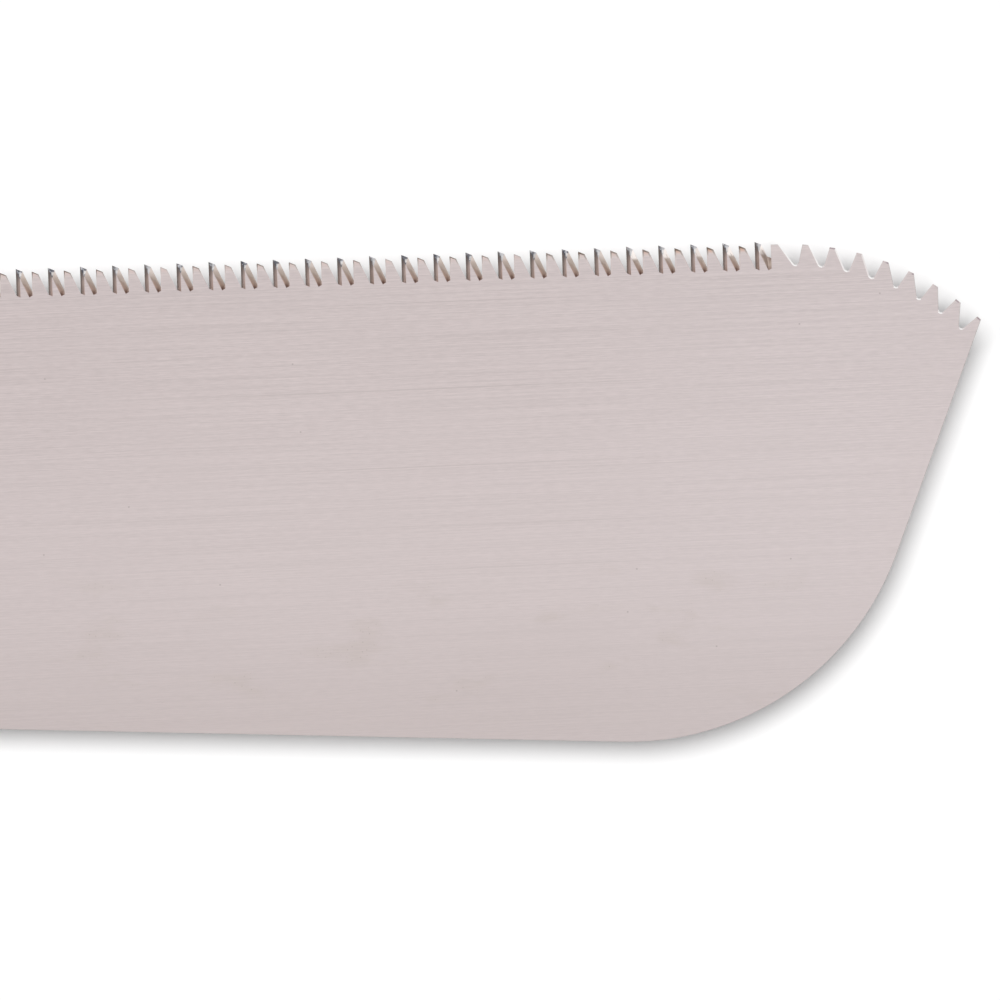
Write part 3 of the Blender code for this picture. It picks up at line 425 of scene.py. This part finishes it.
def specks(tree, spacing, radius, share):
    """Small dark specks, in a share of the cells of a net."""
    inputs = {"Vector": object_place(tree), "Scale": 1 / spacing}
    net = node(tree, "TexVoronoi", {"voronoi_dimensions": "2D"}, inputs)
    spot = between(tree, net.outputs["Distance"], 1.4 * radius / spacing, 0.6 * radius / spacing)
    chance = node(tree, "SeparateColor", None, {0: net.outputs["Color"]}).outputs[0]
    return product(tree, spot, math_node(tree, "LESS_THAN", chance, share))


def tempered_tone(tree, tone, below, along):
    """Paler by the teeth, with straw and brown on the crosscut teeth's tips, more so towards the nose."""
    by_teeth = between(tree, below, 1.8 * MM, 1.0 * MM, 0.0, 0.09)
    tone = mixed(tree, by_teeth, tone, colour(1.0, 0.90, 0.86))
    before_nose = between(tree, along, nose_start, nose_start - 0.5 * MM)
    hotter = between(tree, along, nose_start - TOE_TEETH_ROOM, nose_start - 3 * MM)
    straw = product(tree, between(tree, below, 1.2 * MM, 0.5 * MM), before_nose)
    straw = product(tree, straw, between(tree, hotter, 0.0, 1.0, 0.3, 0.95))
    tone = mixed(tree, straw, tone, colour(0.74, 0.51, 0.43))
    brown = product(tree, between(tree, below, 1.15 * MM, 0.55 * MM, 0.0, 0.8), before_nose)
    return mixed(tree, product(tree, brown, hotter), tone, colour(0.56, 0.35, 0.24))


def across_plate(tree):
    """Share of the way through the plate at a tooth, from its lower face to its upper one."""
    height = height_of(tree, object_place(tree))
    return between(tree, height, plate_middle - FLANK_FOOT, plate_middle + FLANK_TOP)


def pull_flank_finish():
    """Ground flank that cuts on the pull: brown, dark along its outer edge and towards the tip."""
    material, tree, shader = new_finish("tempered_pull_flank")
    place = use_group(tree, tooth_place)
    grain = use_group(tree, brush_marks, {"Stretch": FLANK_GRAIN})
    tone = mixed(tree, across_plate(tree), colour(0.19, 0.15, 0.135), colour(0.62, 0.49, 0.45))
    uneven = between(tree, grain.outputs["Fine"], 0.35, 0.7, 0.0, 0.3)
    tone = mixed(tree, uneven, tone, colour(0.22, 0.165, 0.14))
    shade = between(tree, place.outputs["Chance"], 0.0, 1.0, 0.0, 0.3)
    tone = mixed(tree, shade, tone, colour(0.30, 0.20, 0.165))
    burnt = between(tree, place.outputs["Below Tips"], 1.9 * MM, 0.5 * MM, 0.0, 0.75)
    tone = mixed(tree, burnt, tone, colour(0.11, 0.095, 0.09))
    set_shader(tree, shader, base_color=tone, roughness=GROUND_ROUGHNESS, metallic=1.0)
    bump(tree, shader, grain.outputs["Fine"], FLANK_RELIEF)
    return material


def back_flank_finish():
    """Ground flank at a tooth's back: brown and paler on top, with its deep part painted lighter against the
    gullet's shade, painted shade at the foot and on faces that look up, and a painted glint on some teeth.
    """
    material, tree, shader = new_finish("tempered_back_flank")
    place = use_group(tree, tooth_place)
    below = place.outputs["Below Tips"]
    along = place.outputs["Along"]
    grain = use_group(tree, brush_marks, {"Stretch": FLANK_GRAIN})
    # Painted light: the base is paler deeper than this band, to make up for the shade deep in the gullet
    browner = between(tree, below, 2.05 * MM, 1.35 * MM)
    tone = mixed(tree, browner, colour(0.72, 0.61, 0.54), colour(0.50, 0.415, 0.37))
    tone = mixed(tree, between(tree, below, 1.25 * MM, 0.7 * MM), tone, colour(0.66, 0.575, 0.535))
    uneven = between(tree, grain.outputs["Fine"], 0.35, 0.7, 0.0, 0.3)
    tone = mixed(tree, uneven, tone, colour(0.46, 0.37, 0.29))
    # Painted shade at the flank's foot, where the gullet is shaded
    inner = between(tree, across_plate(tree), 0.3, 0.9)
    foot = product(tree, between(tree, below, 2.45 * MM, 3.0 * MM), inner)
    tone = mixed(tree, product(tree, foot, 0.9), tone, colour(0.26, 0.18, 0.155))
    # Painted glint on the upper part of the flank, on some teeth and more towards the toe
    toe_side = between(tree, along, nose_start - 26 * MM, nose_start - 6 * MM)
    painted_glint_patch = between(tree, math_node(tree, "ADD", toe_side, place.outputs["Chance"]), 0.8, 1.2)
    upper = between(tree, below, 1.6 * MM, 1.2 * MM)
    streak = between(tree, grain.outputs["Fine"], 0.3, 0.5, 0.4, 1.0)
    painted_glint_patch = product(tree, product(tree, painted_glint_patch, upper), streak)
    tone = mixed(tree, painted_glint_patch, tone, colour(0.97, 0.90, 0.86))
    # Painted shade: faces that look up, and so catch more light, are darkened
    facing_up = height_of(tree, true_normal(tree))
    floor = between(tree, facing_up, GULLET_FLOOR_FACING, GULLET_FLOOR_FACING + 0.05)
    before_nose = between(tree, along, nose_start - 1.0 * MM, nose_start - 1.2 * MM, 0.55, 1.0)
    tone = mixed(tree, product(tree, floor, before_nose), tone, colour(0.36, 0.27, 0.23))
    set_shader(tree, shader, base_color=tone, roughness=GROUND_ROUGHNESS, metallic=1.0)
    bump(tree, shader, grain.outputs["Fine"], FLANK_RELIEF)
    return material


def crown_finish():
    """Ground tops of the teeth, hardened to blue-black at the tip, with painted glints, and a painted glint
    where they meet the plate.
    """
    material, tree, shader = new_finish("hardened_crown")
    place = use_group(tree, tooth_place)
    below = place.outputs["Below Tips"]
    past = place.outputs["Past Tip"]
    chance = place.outputs["Chance"]
    grain = use_group(tree, brush_marks, {"Stretch": (2500.0, 2500.0, 1500.0)})
    dark = mixed(tree, chance, colour(0.07, 0.075, 0.10), colour(0.16, 0.15, 0.15))
    near_toe = between(tree, place.outputs["Along"], nose_start - TOE_TEETH_ROOM, nose_start - 10 * MM)
    paler = between(tree, math_node(tree, "ADD", chance, near_toe), 0.35, 0.7, 0.12, 0.8)
    grey = between(tree, past, 0.08 * MM, 0.5 * MM, 0.0, paler)
    tone = mixed(tree, grey, dark, colour(0.60, 0.59, 0.60))
    # Painted glints: lighter patches in the base colour
    glint = between(tree, grain.outputs["Fine"], 0.47, 0.60, 0.0, 0.8)
    tone = mixed(tree, glint, tone, colour(0.62, 0.62, 0.65))
    low = between(tree, below, 0.4 * MM, 0.55 * MM)
    tone = mixed(tree, product(tree, low, between(tree, past, 0.42 * MM, 0.3 * MM)), tone, dark)
    # Painted glint where the crown's foot meets the plate
    painted_glint_patch = product(tree, low, between(tree, past, 0.32 * MM, 0.46 * MM))
    painted_glint_patch = product(tree, painted_glint_patch, between(tree, below, 0.95 * MM, 0.75 * MM))
    painted_glint_patch = product(tree, painted_glint_patch, between(tree, chance, 0.1, 0.9, 0.65, 0.2))
    tone = mixed(tree, painted_glint_patch, tone, colour(0.93, 0.87, 0.84))
    set_shader(tree, shader, base_color=tone, roughness=GROUND_ROUGHNESS, metallic=1.0)
    bump(tree, shader, grain.outputs["Fine"], 0.006 * MM)
    return material


def sheared_finish():
    """Cut edge of the plate."""
    material, tree, shader = new_finish("sheared_edge")
    marks = use_group(tree, brush_marks, {"Stretch": (5000.0, 5000.0, 600.0)})
    tone = mixed(tree, marks.outputs["Fine"], colour(0.34, 0.31, 0.30), colour(0.60, 0.55, 0.54))
    set_shader(tree, shader, base_color=tone, roughness=0.42, metallic=1.0)
    bump(tree, shader, marks.outputs["Fine"], 0.01 * MM)
    return material


def bright_edge_finish():
    """Broken edge of the nose's gullets: a painted highlight where it looks one way, like the plate
    elsewhere.
    """
    material, tree, shader = new_finish("bright_edge")
    marks = use_group(tree, brush_marks, {"Stretch": (3000.0, 3000.0, 3000.0)})
    # Painted highlight: near white where the edge looks towards GLINT_FROM
    bright = mixed(tree, marks.outputs["Fine"], colour(0.88, 0.86, 0.85), colour(0.99, 0.98, 0.97))
    towards = length_along(tree, true_normal(tree), GLINT_FROM)
    share = between(tree, towards, 0.45 * LINE_SLOPE, 0.95 * LINE_SLOPE, 0.1, 1.0)
    tone = mixed(tree, share, PLATE_TONE, bright)
    set_shader(tree, shader, base_color=tone, roughness=GROUND_ROUGHNESS, metallic=1.0)
    return material


def line_finish():
    """Dark line of temper colour along the cut edges of a tooth's full face."""
    material, tree, shader = new_finish("tooth_line")
    place = use_group(tree, tooth_place)
    below = place.outputs["Below Tips"]
    near_tip = between(tree, below, 0.95 * MM, 0.5 * MM)
    tone = mixed(tree, near_tip, colour(0.44, 0.38, 0.35), colour(0.14, 0.095, 0.075))
    low = between(tree, below, 0.95 * MM, 1.4 * MM)
    tone = mixed(tree, low, tone, TOOTH_FACE_TONE)
    marks = use_group(tree, brush_marks, {"Stretch": (2500.0, 2500.0, 2500.0)})
    uneven = between(tree, marks.outputs["Fine"], 0.35, 0.7, 0.0, 0.2)
    tone = mixed(tree, uneven, tone, colour(0.50, 0.43, 0.41))
    before_toe = between(tree, place.outputs["Along"], nose_start - 10 * MM, nose_start - TOE_TEETH_ROOM)
    faint = between(tree, place.outputs["Chance"], 0.15, 0.9, 0.0, 0.7)
    tone = mixed(tree, product(tree, faint, before_toe), tone, TOOTH_FACE_TONE)
    set_shader(tree, shader, base_color=tone, roughness=LINE_ROUGHNESS, metallic=1.0)
    return material


def tip_spot_finish():
    """Dark spots that hardening left on the tips of the nose teeth."""
    material, tree, shader = new_finish("tip_spot")
    marks = use_group(tree, brush_marks, {"Stretch": (1800.0, 1800.0, 1800.0)})
    share = between(tree, marks.outputs["Fine"], 0.44, 0.6)
    tone = mixed(tree, share, PLATE_TONE, colour(0.33, 0.26, 0.28))
    set_shader(tree, shader, base_color=tone, roughness=LINE_ROUGHNESS, metallic=1.0)
    return material


def steel_finish(name, dark, light, stretch, roughness):
    """Satin or plated steel with brush marks and rubbed edges."""
    material, tree, shader = new_finish(name)
    marks = use_group(tree, brush_marks, {"Stretch": stretch})
    tone = mixed(tree, marks.outputs["Fine"], dark, light)
    wear = use_group(tree, edge_wear, {"Width": 0.35 * MM})
    tone = mixed(tree, product(tree, wear.outputs["Wear"], 0.6), tone, colour(0.82, 0.82, 0.82))
    patches = use_group(tree, blotches, {"Size": 12 * MM})
    rough = between(tree, patches.outputs["Patches"], 0.3, 0.75, roughness, roughness + 0.12)
    set_shader(tree, shader, base_color=tone, roughness=rough, metallic=1.0)
    bump(tree, shader, marks.outputs["Fine"], 0.004 * MM)
    return material


def brass_finish():
    """Filed brass, dulled in patches."""
    material, tree, shader = new_finish("filed_brass")
    marks = use_group(tree, brush_marks, {"Stretch": (400.0, 5000.0, 5000.0), "Turn": 0.5})
    tone = mixed(tree, marks.outputs["Fine"], colour(0.62, 0.44, 0.19), colour(0.83, 0.66, 0.36))
    patches = use_group(tree, blotches, {"Size": 3 * MM})
    dull = between(tree, patches.outputs["Patches"], 0.45, 0.75, 0.0, 0.5)
    tone = mixed(tree, dull, tone, colour(0.42, 0.29, 0.13))
    rough = between(tree, dull, 0.0, 0.5, 0.28, 0.45)
    set_shader(tree, shader, base_color=tone, roughness=rough, metallic=1.0)
    bump(tree, shader, marks.outputs["Fine"], 0.005 * MM)
    return material


def wood_finish(name, early, late, heart):
    """Oiled wood with year rings, pores and darker patches. Heart is a point in the middle of the trunk."""
    material, tree, shader = new_finish(name)
    grain = use_group(tree, wood_grain, {"Heart": heart})
    tone = mixed(tree, product(tree, grain.outputs["Rings"], 0.8), early, late)
    fibres = between(tree, grain.outputs["Fibres"], 0.3, 0.7)
    tone = mixed(tree, product(tree, fibres, 0.35), tone, colour(0.60, 0.41, 0.235))
    tone = mixed(tree, product(tree, grain.outputs["Pores"], 0.6), tone, colour(0.17, 0.09, 0.045))
    patches = use_group(tree, blotches, {"Size": 35 * MM})
    patch = between(tree, patches.outputs["Patches"], 0.4, 0.8, 0.0, 0.3)
    tone = mixed(tree, patch, tone, colour(0.36, 0.22, 0.115))
    rough = between(tree, grain.outputs["Rings"], 0.0, 1.0, 0.52, 0.42)
    set_shader(tree, shader, base_color=tone, roughness=rough)
    raised = product(tree, grain.outputs["Fibres"], 0.3)
    bump(tree, shader, math_node(tree, "SUBTRACT", raised, grain.outputs["Pores"]), 0.03 * MM)
    return material


def cane_finish():
    """Flat cane: long fibres, a glossy bark side, darker edges and a joint in the stem here and there."""
    material, tree, shader = new_finish("rattan_bark")
    along = node(tree, "Attribute", {"attribute_name": "along"}).outputs["Fac"]
    across = node(tree, "Attribute", {"attribute_name": "across"}).outputs["Fac"]
    place = node(tree, "CombineXYZ", None, {0: along, 1: across}).outputs[0]
    fibres = noise(tree, stretched(tree, place, (60.0, 9.0, 1.0)), 4.0, roughness=0.65)
    stem = noise(tree, stretched(tree, place, (14.0, 0.4, 1.0)), 2.0)
    drawn = between(tree, fibres, 0.3, 0.7)
    tone = mixed(tree, drawn, colour(0.50, 0.315, 0.135), colour(0.72, 0.51, 0.26))
    tone = mixed(tree, between(tree, stem, 0.35, 0.7, 0.0, 0.55), tone, colour(0.60, 0.36, 0.14))
    edge = between(tree, math_node(tree, "ABSOLUTE", across), 0.72, 1.0)
    tone = mixed(tree, product(tree, edge, 0.7), tone, colour(0.25, 0.14, 0.06))
    section = math_node(tree, "FRACT", math_node(tree, "DIVIDE", along, STEM_JOINTS))
    from_joint = math_node(tree, "ABSOLUTE", math_node(tree, "SUBTRACT", section, 0.5))
    joint = between(tree, from_joint, 0.012, 0.0)
    tone = mixed(tree, product(tree, joint, 0.6), tone, colour(0.28, 0.15, 0.06))
    rough = between(tree, fibres, 0.3, 0.7, 0.46, 0.34)
    set_shader(tree, shader, base_color=tone, roughness=rough, coat_weight=0.25)
    bump(tree, shader, fibres, 0.05 * MM)
    return material


def cap_finish():
    """Black moulded plastic with a fine spark texture and polished edges."""
    material, tree, shader = new_finish("moulded_black")
    spark = noise(tree, object_place(tree), 3.0, 2600.0)
    wear = use_group(tree, edge_wear, {"Width": 0.5 * MM})
    tone = mixed(tree, spark, colour(0.022, 0.022, 0.024), colour(0.04, 0.04, 0.042))
    tone = mixed(tree, product(tree, wear.outputs["Wear"], 0.5), tone, colour(0.10, 0.10, 0.10))
    patches = use_group(tree, blotches, {"Size": 10 * MM})
    rough = between(tree, patches.outputs["Patches"], 0.3, 0.7, 0.40, 0.55)
    set_shader(tree, shader, base_color=tone, roughness=rough)
    bump(tree, shader, spark, 0.03 * MM)
    return material


# Meshes


def node_mesh(name):
    """A CAD node's form with whole faces: split corners joined and flat triangles merged."""
    bm = bmesh.new()
    bm.from_mesh(frame["nodes"][name].data)
    bmesh.ops.remove_doubles(bm, verts=bm.verts, dist=WELD)
    bmesh.ops.dissolve_limit(bm, angle_limit=FLAT_ANGLE, verts=bm.verts, edges=bm.edges)
    bm.normal_update()
    return bm


def add_piece(name, bm, nodes, finishes):
    """A new object for a mesh that stands for CAD nodes of one body."""
    mesh = bpy.data.meshes.new(name)
    bm.to_mesh(mesh)
    bm.free()
    for finish in finishes:
        mesh.materials.append(finish)
    mesh.shade_smooth()
    mesh.set_sharp_from_angle(angle=SHARP_ANGLE)
    piece = bpy.data.objects.new(name, mesh)
    bpy.context.scene.collection.objects.link(piece)
    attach(piece, body_of[nodes[0]])
    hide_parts(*nodes)


def turning_edges(bm, least, most=math.inf):
    """Edges at which the surface turns by more than one angle and less than another."""
    return [edge for edge in bm.edges if edge.is_manifold and least < edge.calc_face_angle() < most]


def softened(name, finish, width, rounder=False):
    """A CAD node with its sharp edges broken and, if asked, its round parts made of twice as many facets."""
    bm = node_mesh(name)
    if rounder:
        bent = turning_edges(bm, *BENT_ANGLES)
        bmesh.ops.bevel(bm, geom=bent, offset=FACET_CUT, offset_type="PERCENT", segments=1, affect="EDGES")
        bm.normal_update()
    bmesh.ops.bevel(bm, geom=turning_edges(bm, SHARP_ANGLE), offset=width, segments=EDGE_STEPS,
                    profile=EDGE_FULLNESS, affect="EDGES", clamp_overlap=True)
    add_piece(name + "_finished", bm, [name], [finish])


PLATE, PULL, BACK, CROWN, SHEARED, BRIGHT, LINE, SPOT = range(8)
BEVELS = (PULL, BACK, CROWN)


def make_blade():
    """The toothed plate, with dark lines on its crosscut teeth and its other edges broken."""
    bm = node_mesh("blade")
    for face in bm.faces:
        face.material_index = blade_face_kind(face)
    marked = bm.edges.layers.int.new("line_kind")
    for edge in bm.edges:
        edge[marked] = blade_edge_kind(edge)
    line_teeth(bm)
    for kind, width in ((BRIGHT, NOSE_LINE), (SPOT, NOSE_LINE), (SHEARED, PLATE_LINE)):
        edges = [edge for edge in bm.edges if edge[marked] == kind]
        made = bmesh.ops.bevel(bm, geom=edges, offset=width, segments=1, affect="EDGES", material=kind)
        flatten_edges(made["verts"], width)
    bm.edges.layers.int.remove(marked)
    finishes = [plate_finish(), pull_flank_finish(), back_flank_finish(), crown_finish(), sheared_finish()]
    finishes += [bright_edge_finish(), line_finish(), tip_spot_finish()]
    add_piece("toothed_plate", bm, ["blade"], finishes)


def blade_face_kind(face):
    """Which finish a face of the blade takes, by the way it looks and its place."""
    normal = face.normal
    if abs(normal.z) > FACE_FACING:
        return PLATE
    below = tip_level - face.calc_center_median().dot(LINE_NORMAL)
    on_teeth = below < TOOTH_ROOM and face.calc_center_median().dot(LINE_DIRECTION) < nose_start
    if not on_teeth or abs(normal.z) < WALL_FACING:
        return SHEARED
    if normal.dot(LINE_NORMAL) > CROWN_FACING and below < CROWN_ROOM:
        return CROWN
    return PULL if normal.dot(LINE_DIRECTION) < 0 and normal.z < GULLET_FLOOR_FACING else BACK


def blade_edge_kind(edge):
    """Which finish a broken edge of the plate's face takes, or PLATE where the edge stays sharp."""
    flat = [face for face in edge.link_faces if face.material_index == PLATE]
    if len(flat) != 1:
        return PLATE
    middle = (edge.verts[0].co + edge.verts[1].co) / 2
    along = middle.dot(LINE_DIRECTION)
    below = tip_level - middle.dot(LINE_NORMAL)
    if along < nose_start and below < TOOTH_ROOM:
        return PLATE
    on_nose = along > nose_start and below < nose_depth(along)
    if on_nose and TIP_FLAT[0] < edge.calc_length() < TIP_FLAT[1]:
        return SPOT if along > nose_start + TIP_SPOTS_FROM else SHEARED
    if on_nose and outward(edge).dot(LINE_NORMAL) > NOSE_GULLET_FACING:
        return BRIGHT
    return SHEARED


def nose_depth(along):
    """How far below the line of tips the nose's gullets reach, at a place along it."""
    return TOOTH_ROOM + (along - nose_start) ** 2 / NOSE_FALL


def outward(edge):
    """The sideways direction of the wall below an edge of the plate's face."""
    walls = [face.normal for face in edge.link_faces if abs(face.normal.z) < FACE_FACING]
    return walls[0] if walls else Vector()


def line_teeth(bm):
    """Splits off a rim along the cut edges of each tooth's full face, in the face's own plane."""
    full = [face for face in bm.faces if is_full_face(face)]
    toe_side = nose_start - TOE_TEETH_ROOM
    last = [face for face in full if face.calc_center_median().dot(LINE_DIRECTION) > toe_side]
    rest = [face for face in full if face not in last]
    rims = []
    for faces, width in ((rest, FLANK_LINE), (last, TOE_FLANK_LINE)):
        rims += bmesh.ops.inset_individual(bm, faces=faces, thickness=width, use_even_offset=True)["faces"]
    for rim in rims:
        beside = [face.material_index for edge in rim.edges for face in edge.link_faces]
        rim.material_index = LINE if any(kind in BEVELS for kind in beside) else PLATE


def is_full_face(face):
    """Whether a face is a tooth's side from which its bevels fall away."""
    if face.material_index != PLATE or face.calc_area() > TOOTH_PITCH * TOOTH_ROOM:
        return False
    beside = [other for edge in face.edges for other in edge.link_faces]
    tops = [other for other in beside if other.material_index == CROWN]
    return bool(tops) and tops[0].normal.z * face.normal.z < 0


def flatten_edges(verts, width):
    """Raises the foot of a broken edge, so that the edge lies almost in the plate's face."""
    lower_face = plate_middle - PLATE_THICKNESS / 2
    upper_face = plate_middle + PLATE_THICKNESS / 2
    for vert in verts:
        for level, side in ((lower_face, 1), (upper_face, -1)):
            depth = (vert.co.z - level) * side
            if 0.5 * width < depth < 1.5 * width:
                vert.co.z = level + side * LINE_SLOPE * width


def make_wrap(name, finish):
    """One length of crowned cane, wound where its CAD solid is."""
    low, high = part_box(name)
    centre = (low + high) / 2
    half = (high - low) / 2
    turns = round((high.x - low.x - CANE_WIDTH) / CANE_PITCH)
    loop = cane_loop(half.y, half.z)
    lengths = [(b[0] - a[0]).length for a, b in zip(loop, loop[1:])]
    profile = cane_profile()
    bm = bmesh.new()
    along_layer = bm.verts.layers.float.new("along")
    across_layer = bm.verts.layers.float.new("across")
    rings = []
    for walked, point, out in cane_route(loop, lengths, turns):
        x = high.x - CANE_WIDTH / 2 - CANE_PITCH * walked / sum(lengths)
        ring = []
        for across, depth in profile:
            spot = point - out * depth
            vert = bm.verts.new((x + across * CANE_WIDTH / 2, centre.y + spot.x, centre.z + spot.y))
            vert[along_layer] = walked
            vert[across_layer] = across
            ring.append(vert)
        rings.append(ring)
    count = len(profile)
    for near, far in zip(rings, rings[1:]):
        for i in range(count):
            j = (i + 1) % count
            bm.faces.new((near[i], near[j], far[j], far[i]))
    bm.faces.new(rings[0])
    bm.faces.new(rings[-1])
    bmesh.ops.recalc_face_normals(bm, faces=bm.faces)
    add_piece(name + "_cane", bm, [name], [finish])


def cane_route(loop, lengths, turns):
    """Stations along the cane: the way walked, the point on the loop and the outward direction."""
    gap = Vector((CANE_END_GAP, 0.0))
    start, end = loop[0], loop[-1]
    route = []
    for turn in range(turns):
        for index, (point, out) in enumerate(loop[:-1]):
            route.append((turn * sum(lengths) + sum(lengths[:index]), point, out))
    route[0] = (CANE_END_GAP, start[0] + gap, start[1])
    route.append((turns * sum(lengths) - CANE_END_GAP, end[0] - gap, end[1]))
    return route


def cane_loop(half_width, half_height):
    """Points round the handle's section and their outward directions, from the middle of the underside."""
    underside = (Vector((0.0, -half_height)), Vector((0.0, -1.0)))
    loop = [underside]
    for quarter, (side, level) in enumerate(((1, -1), (1, 1), (-1, 1), (-1, -1))):
        centre = Vector((side * (half_width - CANE_CORNER), level * (half_height - CANE_CORNER)))
        for i in range(CANE_CORNER_STEPS + 1):
            turn = math.pi / 2 * (quarter - 1 + i / CANE_CORNER_STEPS)
            out = Vector((math.cos(turn), math.sin(turn)))
            loop.append((centre + CANE_CORNER * out, out))
    loop.append(underside)
    return loop


def cane_profile():
    """The cane's section: places across from -1 to 1 and depths below its crown."""
    over = [(-1 + 2 * i / BARK_STEPS) for i in range(BARK_STEPS + 1)]
    bark = [(BARK_SHARE * place, CANE_THICKNESS * BARK_CROWN * place ** 2) for place in over]
    edge = CANE_THICKNESS * BARK_EDGE
    return [(-1.0, edge), *bark, (1.0, edge), (1.0, CANE_THICKNESS), (-1.0, CANE_THICKNESS)]


# Stage


def make_floor():
    """A white floor that keeps the shadow and shows white where nothing shades it."""
    bm = bmesh.new()
    bmesh.ops.create_grid(bm, x_segments=1, y_segments=1, size=FLOOR_HALF)
    mesh = bpy.data.meshes.new("floor")
    bm.to_mesh(mesh)
    bm.free()
    floor = bpy.data.objects.new("floor", mesh)
    bpy.context.scene.collection.objects.link(floor)
    floor.location.z = -FLOOR_DROP
    material = bpy.data.materials.new("white_floor")
    material.use_nodes = True
    tree = material.node_tree
    tree.nodes.clear()
    matt = node(tree, "BsdfDiffuse", None, {"Color": colour(FLOOR_WHITE, FLOOR_WHITE, FLOOR_WHITE)})
    seen = node(tree, "LightPath").outputs["Is Camera Ray"]
    glow = node(tree, "Emission", None, {"Strength": product(tree, seen, FLOOR_GLOW)})
    both = node(tree, "AddShader", None, {0: matt.outputs[0], 1: glow.outputs[0]})
    node(tree, "OutputMaterial", None, {"Surface": both.outputs[0]})
    mesh.materials.append(material)


def make_world():
    """White to the camera and in reflections, dimmer as a light."""
    world = bpy.data.worlds.new("white_studio")
    bpy.context.scene.world = world
    world.use_nodes = True
    tree = world.node_tree
    background = tree.nodes["Background"]
    path = node(tree, "LightPath")
    mirrored = math_node(tree, "MAXIMUM", path.outputs["Is Glossy Ray"], path.outputs["Is Transmission Ray"])
    shown = math_node(tree, "MAXIMUM", path.outputs["Is Camera Ray"], mirrored)
    strength = node(tree, "MapRange", None, {"Value": shown, "To Min": SKY_LIGHT, "To Max": 1.0}).outputs[0]
    background.inputs["Color"].default_value = colour(1.0, 1.0, 1.0)
    tree.links.new(strength, background.inputs["Strength"])


def make_lamp():
    """One broad light from above, which isn't seen in reflections."""
    sun = bpy.data.lights.new("key", "SUN")
    sun.energy = KEY_STRENGTH
    sun.angle = KEY_SPREAD
    key = bpy.data.objects.new("key", sun)
    key.rotation_euler = Vector(KEY_FROM).to_track_quat("Z", "Y").to_euler()
    key.visible_camera = False
    key.visible_glossy = False
    bpy.context.scene.collection.objects.link(key)


def make_camera():
    """The photograph's view, straight down on the toe end of the plate."""
    camera = bpy.data.cameras.new("photo_camera")
    camera.lens = LENS_MM
    camera.sensor_width = SENSOR_MM
    holder = bpy.data.objects.new("photo_camera", camera)
    toe_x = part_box("blade")[1].x
    axis_y = (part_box("ferrule")[0].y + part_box("ferrule")[1].y) / 2
    distance = FRAME_WIDTH * LENS_MM / SENSOR_MM
    holder.location = (toe_x - TOE_TO_MIDDLE, axis_y - AXIS_TO_MIDDLE, plate_middle + distance)
    bpy.context.scene.collection.objects.link(holder)
    bpy.context.scene.camera = holder


brush_marks = make_brush_marks()
blotches = make_blotches()
edge_wear = make_edge_wear()
wood_grain = make_wood_grain()
tooth_place = make_tooth_place()

satin = steel_finish("satin_steel", colour(0.50, 0.51, 0.52), colour(0.62, 0.63, 0.64),
                     stretch=(60.0, 3000.0, 3000.0), roughness=0.34)
plated = steel_finish("plated_steel", colour(0.60, 0.60, 0.61), colour(0.70, 0.70, 0.71),
                      stretch=(2000.0, 2000.0, 300.0), roughness=0.2)
brass = brass_finish()
wood = wood_finish("oiled_wood", early=colour(0.66, 0.47, 0.28), late=colour(0.44, 0.27, 0.13),
                   heart=(0.0, 12 * MM, -30 * MM))
dowel_wood = wood_finish("dowel_wood", early=colour(0.70, 0.53, 0.34), late=colour(0.52, 0.35, 0.19),
                         heart=(0.0, -20 * MM, 40 * MM))
cane = cane_finish()
black = cap_finish()

make_blade()
for name in ("rattan_wrap_front", "rattan_wrap_rear"):
    make_wrap(name, cane)
for name in ("blade_socket", "clamp_nut", "guide_pin", "socket_rivet_rear"):
    softened(name, satin, SATIN_EDGE)
softened("ferrule", satin, SATIN_EDGE, rounder=True)
for name in ("clamp_screw", "clamp_washer", "lock_washer"):
    softened(name, plated, PLATED_EDGE)
for name in slot_of:
    if slot_of[name] == "pin_brass":
        softened(name, brass, BRASS_EDGE)
for name in ("handle_half_upper", "handle_half_lower"):
    softened(name, wood, WOOD_EDGE)
for name in ("dowel_front", "dowel_rear"):
    softened(name, dowel_wood, WOOD_EDGE)
softened("butt_cap", black, CAP_EDGE, rounder=True)

make_floor()
make_world()
make_lamp()
make_camera()
bpy.context.scene.view_settings.view_transform = "Standard"
